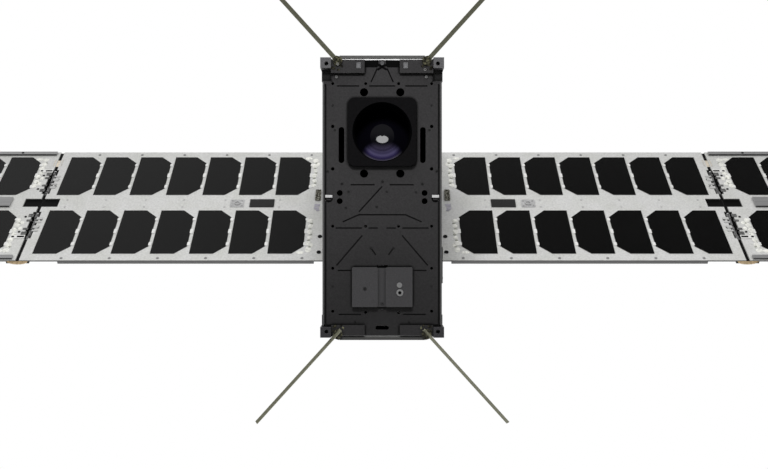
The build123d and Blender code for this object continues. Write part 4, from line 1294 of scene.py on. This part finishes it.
class BuildHinges(bpy.types.Operator):
    """Springs, clips, screws and lips of the middle hinges, and the latches beside them"""

    bl_idname = "satellite.build_hinges"
    bl_label = "Hinge details"

    spring_length = 9.8
    spring_starts = (25.6, 46.6)                # |v|
    # |v| and half width of the clips, |v| of the screws, then the u of both
    inner_clip_spots = ((29.6, 2.2), (36.2, 1.3), (44.8, 2.4), (51.4, 1.4))
    outer_clip_spots = ((24.0, 2.6), (33.4, 1.5), (48.4, 1.6), (56.2, 2.8))
    inner_screw_rows = (-32.0, -46.0, 32.0, 46.0)
    outer_screw_rows = (-26.5, -53.6, 26.5, 53.6)
    inner_clip_u, outer_clip_u = 380.2, 388.8
    inner_screw_u, outer_screw_u = 376.6, 395.2

    def execute(self, context):
        for model, body, look, slot, name in (
            (self.springs, "inner", "spring grey", "hinge_steel", "hinge_springs"),
            (self.lips, "outer", "deep black", "black_metal", "hinge_lips"),
            (self.end_blocks, "inner", "deep black", "black_metal", "hinge_end_blocks"),
            (self.inner_clips, "inner", "pale stud", "hinge_steel", "inner_hinge_clips"),
            (self.outer_clips, "outer", "hinge clip", "hinge_steel", "outer_hinge_clips"),
            (self.inner_screws, "inner", "dark screw", "black_metal", "inner_hinge_screws"),
            (self.outer_screws, "outer", "dark screw", "black_metal", "outer_hinge_screws"),
            (self.latches, "outer", "silver tab", "bar_metal", "panel_latches"),
            (self.latch_slot_shades, "outer", "deep black", "black_metal", "latch_slot_shades"),
        ):
            on_wings(model, body + "_wing", look, name)
        return {"FINISHED"}

    def in_rows(self, master, u, v, n):
        """One copy in each half of the wing."""
        return copies(master, grid((u,), (-v, v), n))

    def springs(self):
        wire = bpy.context.scene.satellite_sizes.wire_radius / MM
        starts = [-start - self.spring_length for start in self.spring_starts] + list(self.spring_starts)
        laid = [place @ turned(-90, "X") for place in grid((HINGE_U,), starts, HINGE_N)]
        return copies(model_spring(1.5, wire, self.spring_length, 7), laid)

    def lips(self):
        """Narrow strips under the outer edge beam that close the slit beside the hinge eyes."""
        lip = start_block((SLIT_HALF, -15.8, 2.9), (3.4, 15.8, 3.5))
        bevel_edges(lip, lambda m, d: abs(d.y) > 0.9 and m.x < SLIT_HALF + 0.1, 0.2)
        return self.in_rows(lip, HINGE_U, HINGE_V, 0.0)

    def end_blocks(self):
        """Small blocks on the inner edge beam, beyond both ends of each hinge."""
        made = []
        for near, far in ((9.6, 16.4), (65.6, 73.0)):
            half = (far - near) / 2
            block = start_block((-2.7, -half, 3.5), (-0.3, half, 5.3))
            bevel_edges(block, lambda m, d: m.z < 3.6 and abs(d.z) < 0.1, 0.3)
            made += self.in_rows(block, HINGE_U, near + half, 0.0)
        return made

    def clips(self, spots, start, end, height, step, u):
        """Flat clips whose corners are rounded on the side away from the slit."""
        outward = 1 if end > -start else -1
        made = []
        for v, half in spots:
            low, high = (start, -half, 0.0), (end, half, height)
            made += self.in_rows(model_plate(low, high, 0.6, 2, *step, lambda m: outward * m.x > 0), u, v, BOARD_TOP)
        return made

    def inner_clips(self):
        return self.clips(self.inner_clip_spots, -4.6, 1.9, 0.45, (0.35, 0.12), self.inner_clip_u)

    def outer_clips(self):
        return self.clips(self.outer_clip_spots, -1.9, 3.6, 0.5, (0.4, -0.15), self.outer_clip_u)

    def inner_screws(self):
        places = grid((self.inner_screw_u,), self.inner_screw_rows, BOARD_TOP - 0.05)
        return copies(model_screw(1.3, 0.6, 0.5, 16), places)

    def outer_screws(self):
        places = grid((self.outer_screw_u,), self.outer_screw_rows, BOARD_TOP - 0.05)
        return copies(model_screw(1.4, 0.6, 0.5, 16), places)

    def latches(self):
        latch = model_plate((386.8, -3.0, 0.0), (402.2, 3.0, 0.5), 0.8, 3, 0.5, 0.1)
        return self.in_rows(latch, 0.0, LATCH_V, BOARD_TOP)

    # painted shade: black plates on the latches stand for the shade in their slots
    def latch_slot_shades(self):
        made = []
        for low, high in ((387.4, 395.0), (398.2, 401.0)):
            slot = model_plate((low, -1.3, 0.5), (high, 1.3, 0.75), 0.6, 3, 0.3, -0.1)
            made += self.in_rows(slot, 0.0, LATCH_V, BOARD_TOP)
        return made


class BuildRibbons(bpy.types.Operator):
    """Film ribbons that carry the circuit from the inner to the outer panel"""

    bl_idname = "satellite.build_ribbons"
    bl_label = "Panel ribbons"

    thickness = 0.35
    blend_reach = 3.0

    def execute(self, context):
        films = ((self.slit_film, 3, 79.5, "pale film"), (self.edge_film, 6, -102.6, "copper ribbon"))
        for side in SIDES:
            place = wing_matrix(side)
            for number, (shape, rows, middle, look) in enumerate(films):
                strip = put(self.film(rows, shape), place)
                strip.name = strip.data.name = "%s_ribbon_%d" % (side, number + 1)
                tidy_normals(strip)
                dress(strip, look, 40.0)
                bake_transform(strip)
        return {"FINISHED"}

    def film(self, rows, shape):
        """A sheet bent to a shape: share runs from -1 to 1 along the wing, the other from 0 to 1 across it."""
        clear_selection()
        bpy.ops.mesh.primitive_grid_add(x_subdivisions=24, y_subdivisions=rows, size=2.0)
        strip = settle()
        for vertex in strip.data.vertices:
            vertex.co = Vector(shape(vertex.co.x, (vertex.co.y + 1.0) / 2.0)) * MM
        take(strip)
        bpy.ops.object.modifier_add(type="SOLIDIFY")
        strip.modifiers[0].thickness = self.thickness * MM
        strip.modifiers[0].offset = 0.0
        bpy.ops.object.modifier_apply(modifier=strip.modifiers[0].name)
        return strip

    def slit_film(self, share, across):
        """The strip that dips through the slit between the panels."""
        dip = math.sqrt(max(0.0, 1.0 - share * share))
        return HINGE_U + 4.4 * share, 73.0 + 13.0 * across, 8.0 - 1.5 * dip

    def edge_film(self, share, down):
        """The loop that hangs as a crescent outside the panels' lower edge."""
        swell = math.sqrt(max(0.0, 1.0 - share * share)) + 0.04
        bulge = 1.3 * swell * math.sin(math.pi * down)
        return HINGE_U + 11.0 * share, -102.75 - bulge, 6.6 - 4.2 * swell * down


class BuildBodyScrews(bpy.types.Operator):
    """Low screw heads of the side panels, hatch and rear plate"""

    bl_idname = "satellite.build_body_screws"
    bl_label = "Body screws"

    sunk = 0.06

    def execute(self, context):
        places = []
        for side, panel in ((-1, "left_side_panel"), (1, "right_side_panel")):
            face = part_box(panel)[side > 0][0] / MM - side * self.sunk
            turn = turned(90 * side, "Y")
            places += [moved(face, y, z) @ turn for y in range(-340, -20, 60) for z in (-99.0, 99.0)]
        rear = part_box("rear_plate")[1][1] / MM - self.sunk
        places += [
            moved(x, rear, z) @ turned(-90, "X") for x in (-38.0, 0.0, 38.0) for z in (-100.0, -50.0, 50.0, 100.0)
        ]
        low, high = (Vector(corner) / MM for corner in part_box("side_hatch"))
        hatch = [
            moved(high.x - 0.05, y, z) @ turned(90, "Y")
            for y in (low.y + 5.0, high.y - 5.0) for z in (low.z + 4.0, high.z - 4.0)
        ]
        made = copies(model_screw(1.7, 0.5, 0.5, 18), places) + copies(model_screw(1.2, 0.4, 0.5, 16), hatch)
        on_body(made, "body_screws", "grey screw")
        return {"FINISHED"}


class SatellitePanel(bpy.types.Panel):
    """The satellite's steps in the sidebar"""

    bl_idname = "SATELLITE_PT_steps"
    bl_label = "Satellite"
    bl_space_type = "VIEW_3D"
    bl_region_type = "UI"
    bl_category = "Satellite"

    def draw(self, context):
        for kind in STEPS:
            self.layout.operator(kind.bl_idname)


STEPS = (
    BuildStage,
    DressNodes,
    BuildEndScrews,
    BuildEndPins,
    BuildFeeds,
    BuildTopRecess,
    BuildWindows,
    BuildSidePins,
    BuildSensorOptics,
    BuildLensBaffles,
    BuildCellTabs,
    BuildGlue,
    BuildBoardParts,
    BuildHinges,
    BuildRibbons,
    BuildBodyScrews,
)
GROUPS = (SatelliteColours, SatelliteSizes, SatelliteStage)


def register():
    for kind in GROUPS + STEPS + (SatellitePanel,):
        bpy.utils.register_class(kind)
    bpy.types.Scene.satellite_colours = bpy.props.PointerProperty(type=SatelliteColours)
    bpy.types.Scene.satellite_sizes = bpy.props.PointerProperty(type=SatelliteSizes)
    bpy.types.Scene.satellite_stage = bpy.props.PointerProperty(type=SatelliteStage)


def unregister():
    del bpy.types.Scene.satellite_stage
    del bpy.types.Scene.satellite_sizes
    del bpy.types.Scene.satellite_colours
    for kind in reversed(GROUPS + STEPS + (SatellitePanel,)):
        bpy.utils.unregister_class(kind)


def main():
    register()
    for kind in STEPS:
        family, action = kind.bl_idname.split(".")
        getattr(getattr(bpy.ops, family), action)()


if __name__ == "__main__":
    main()
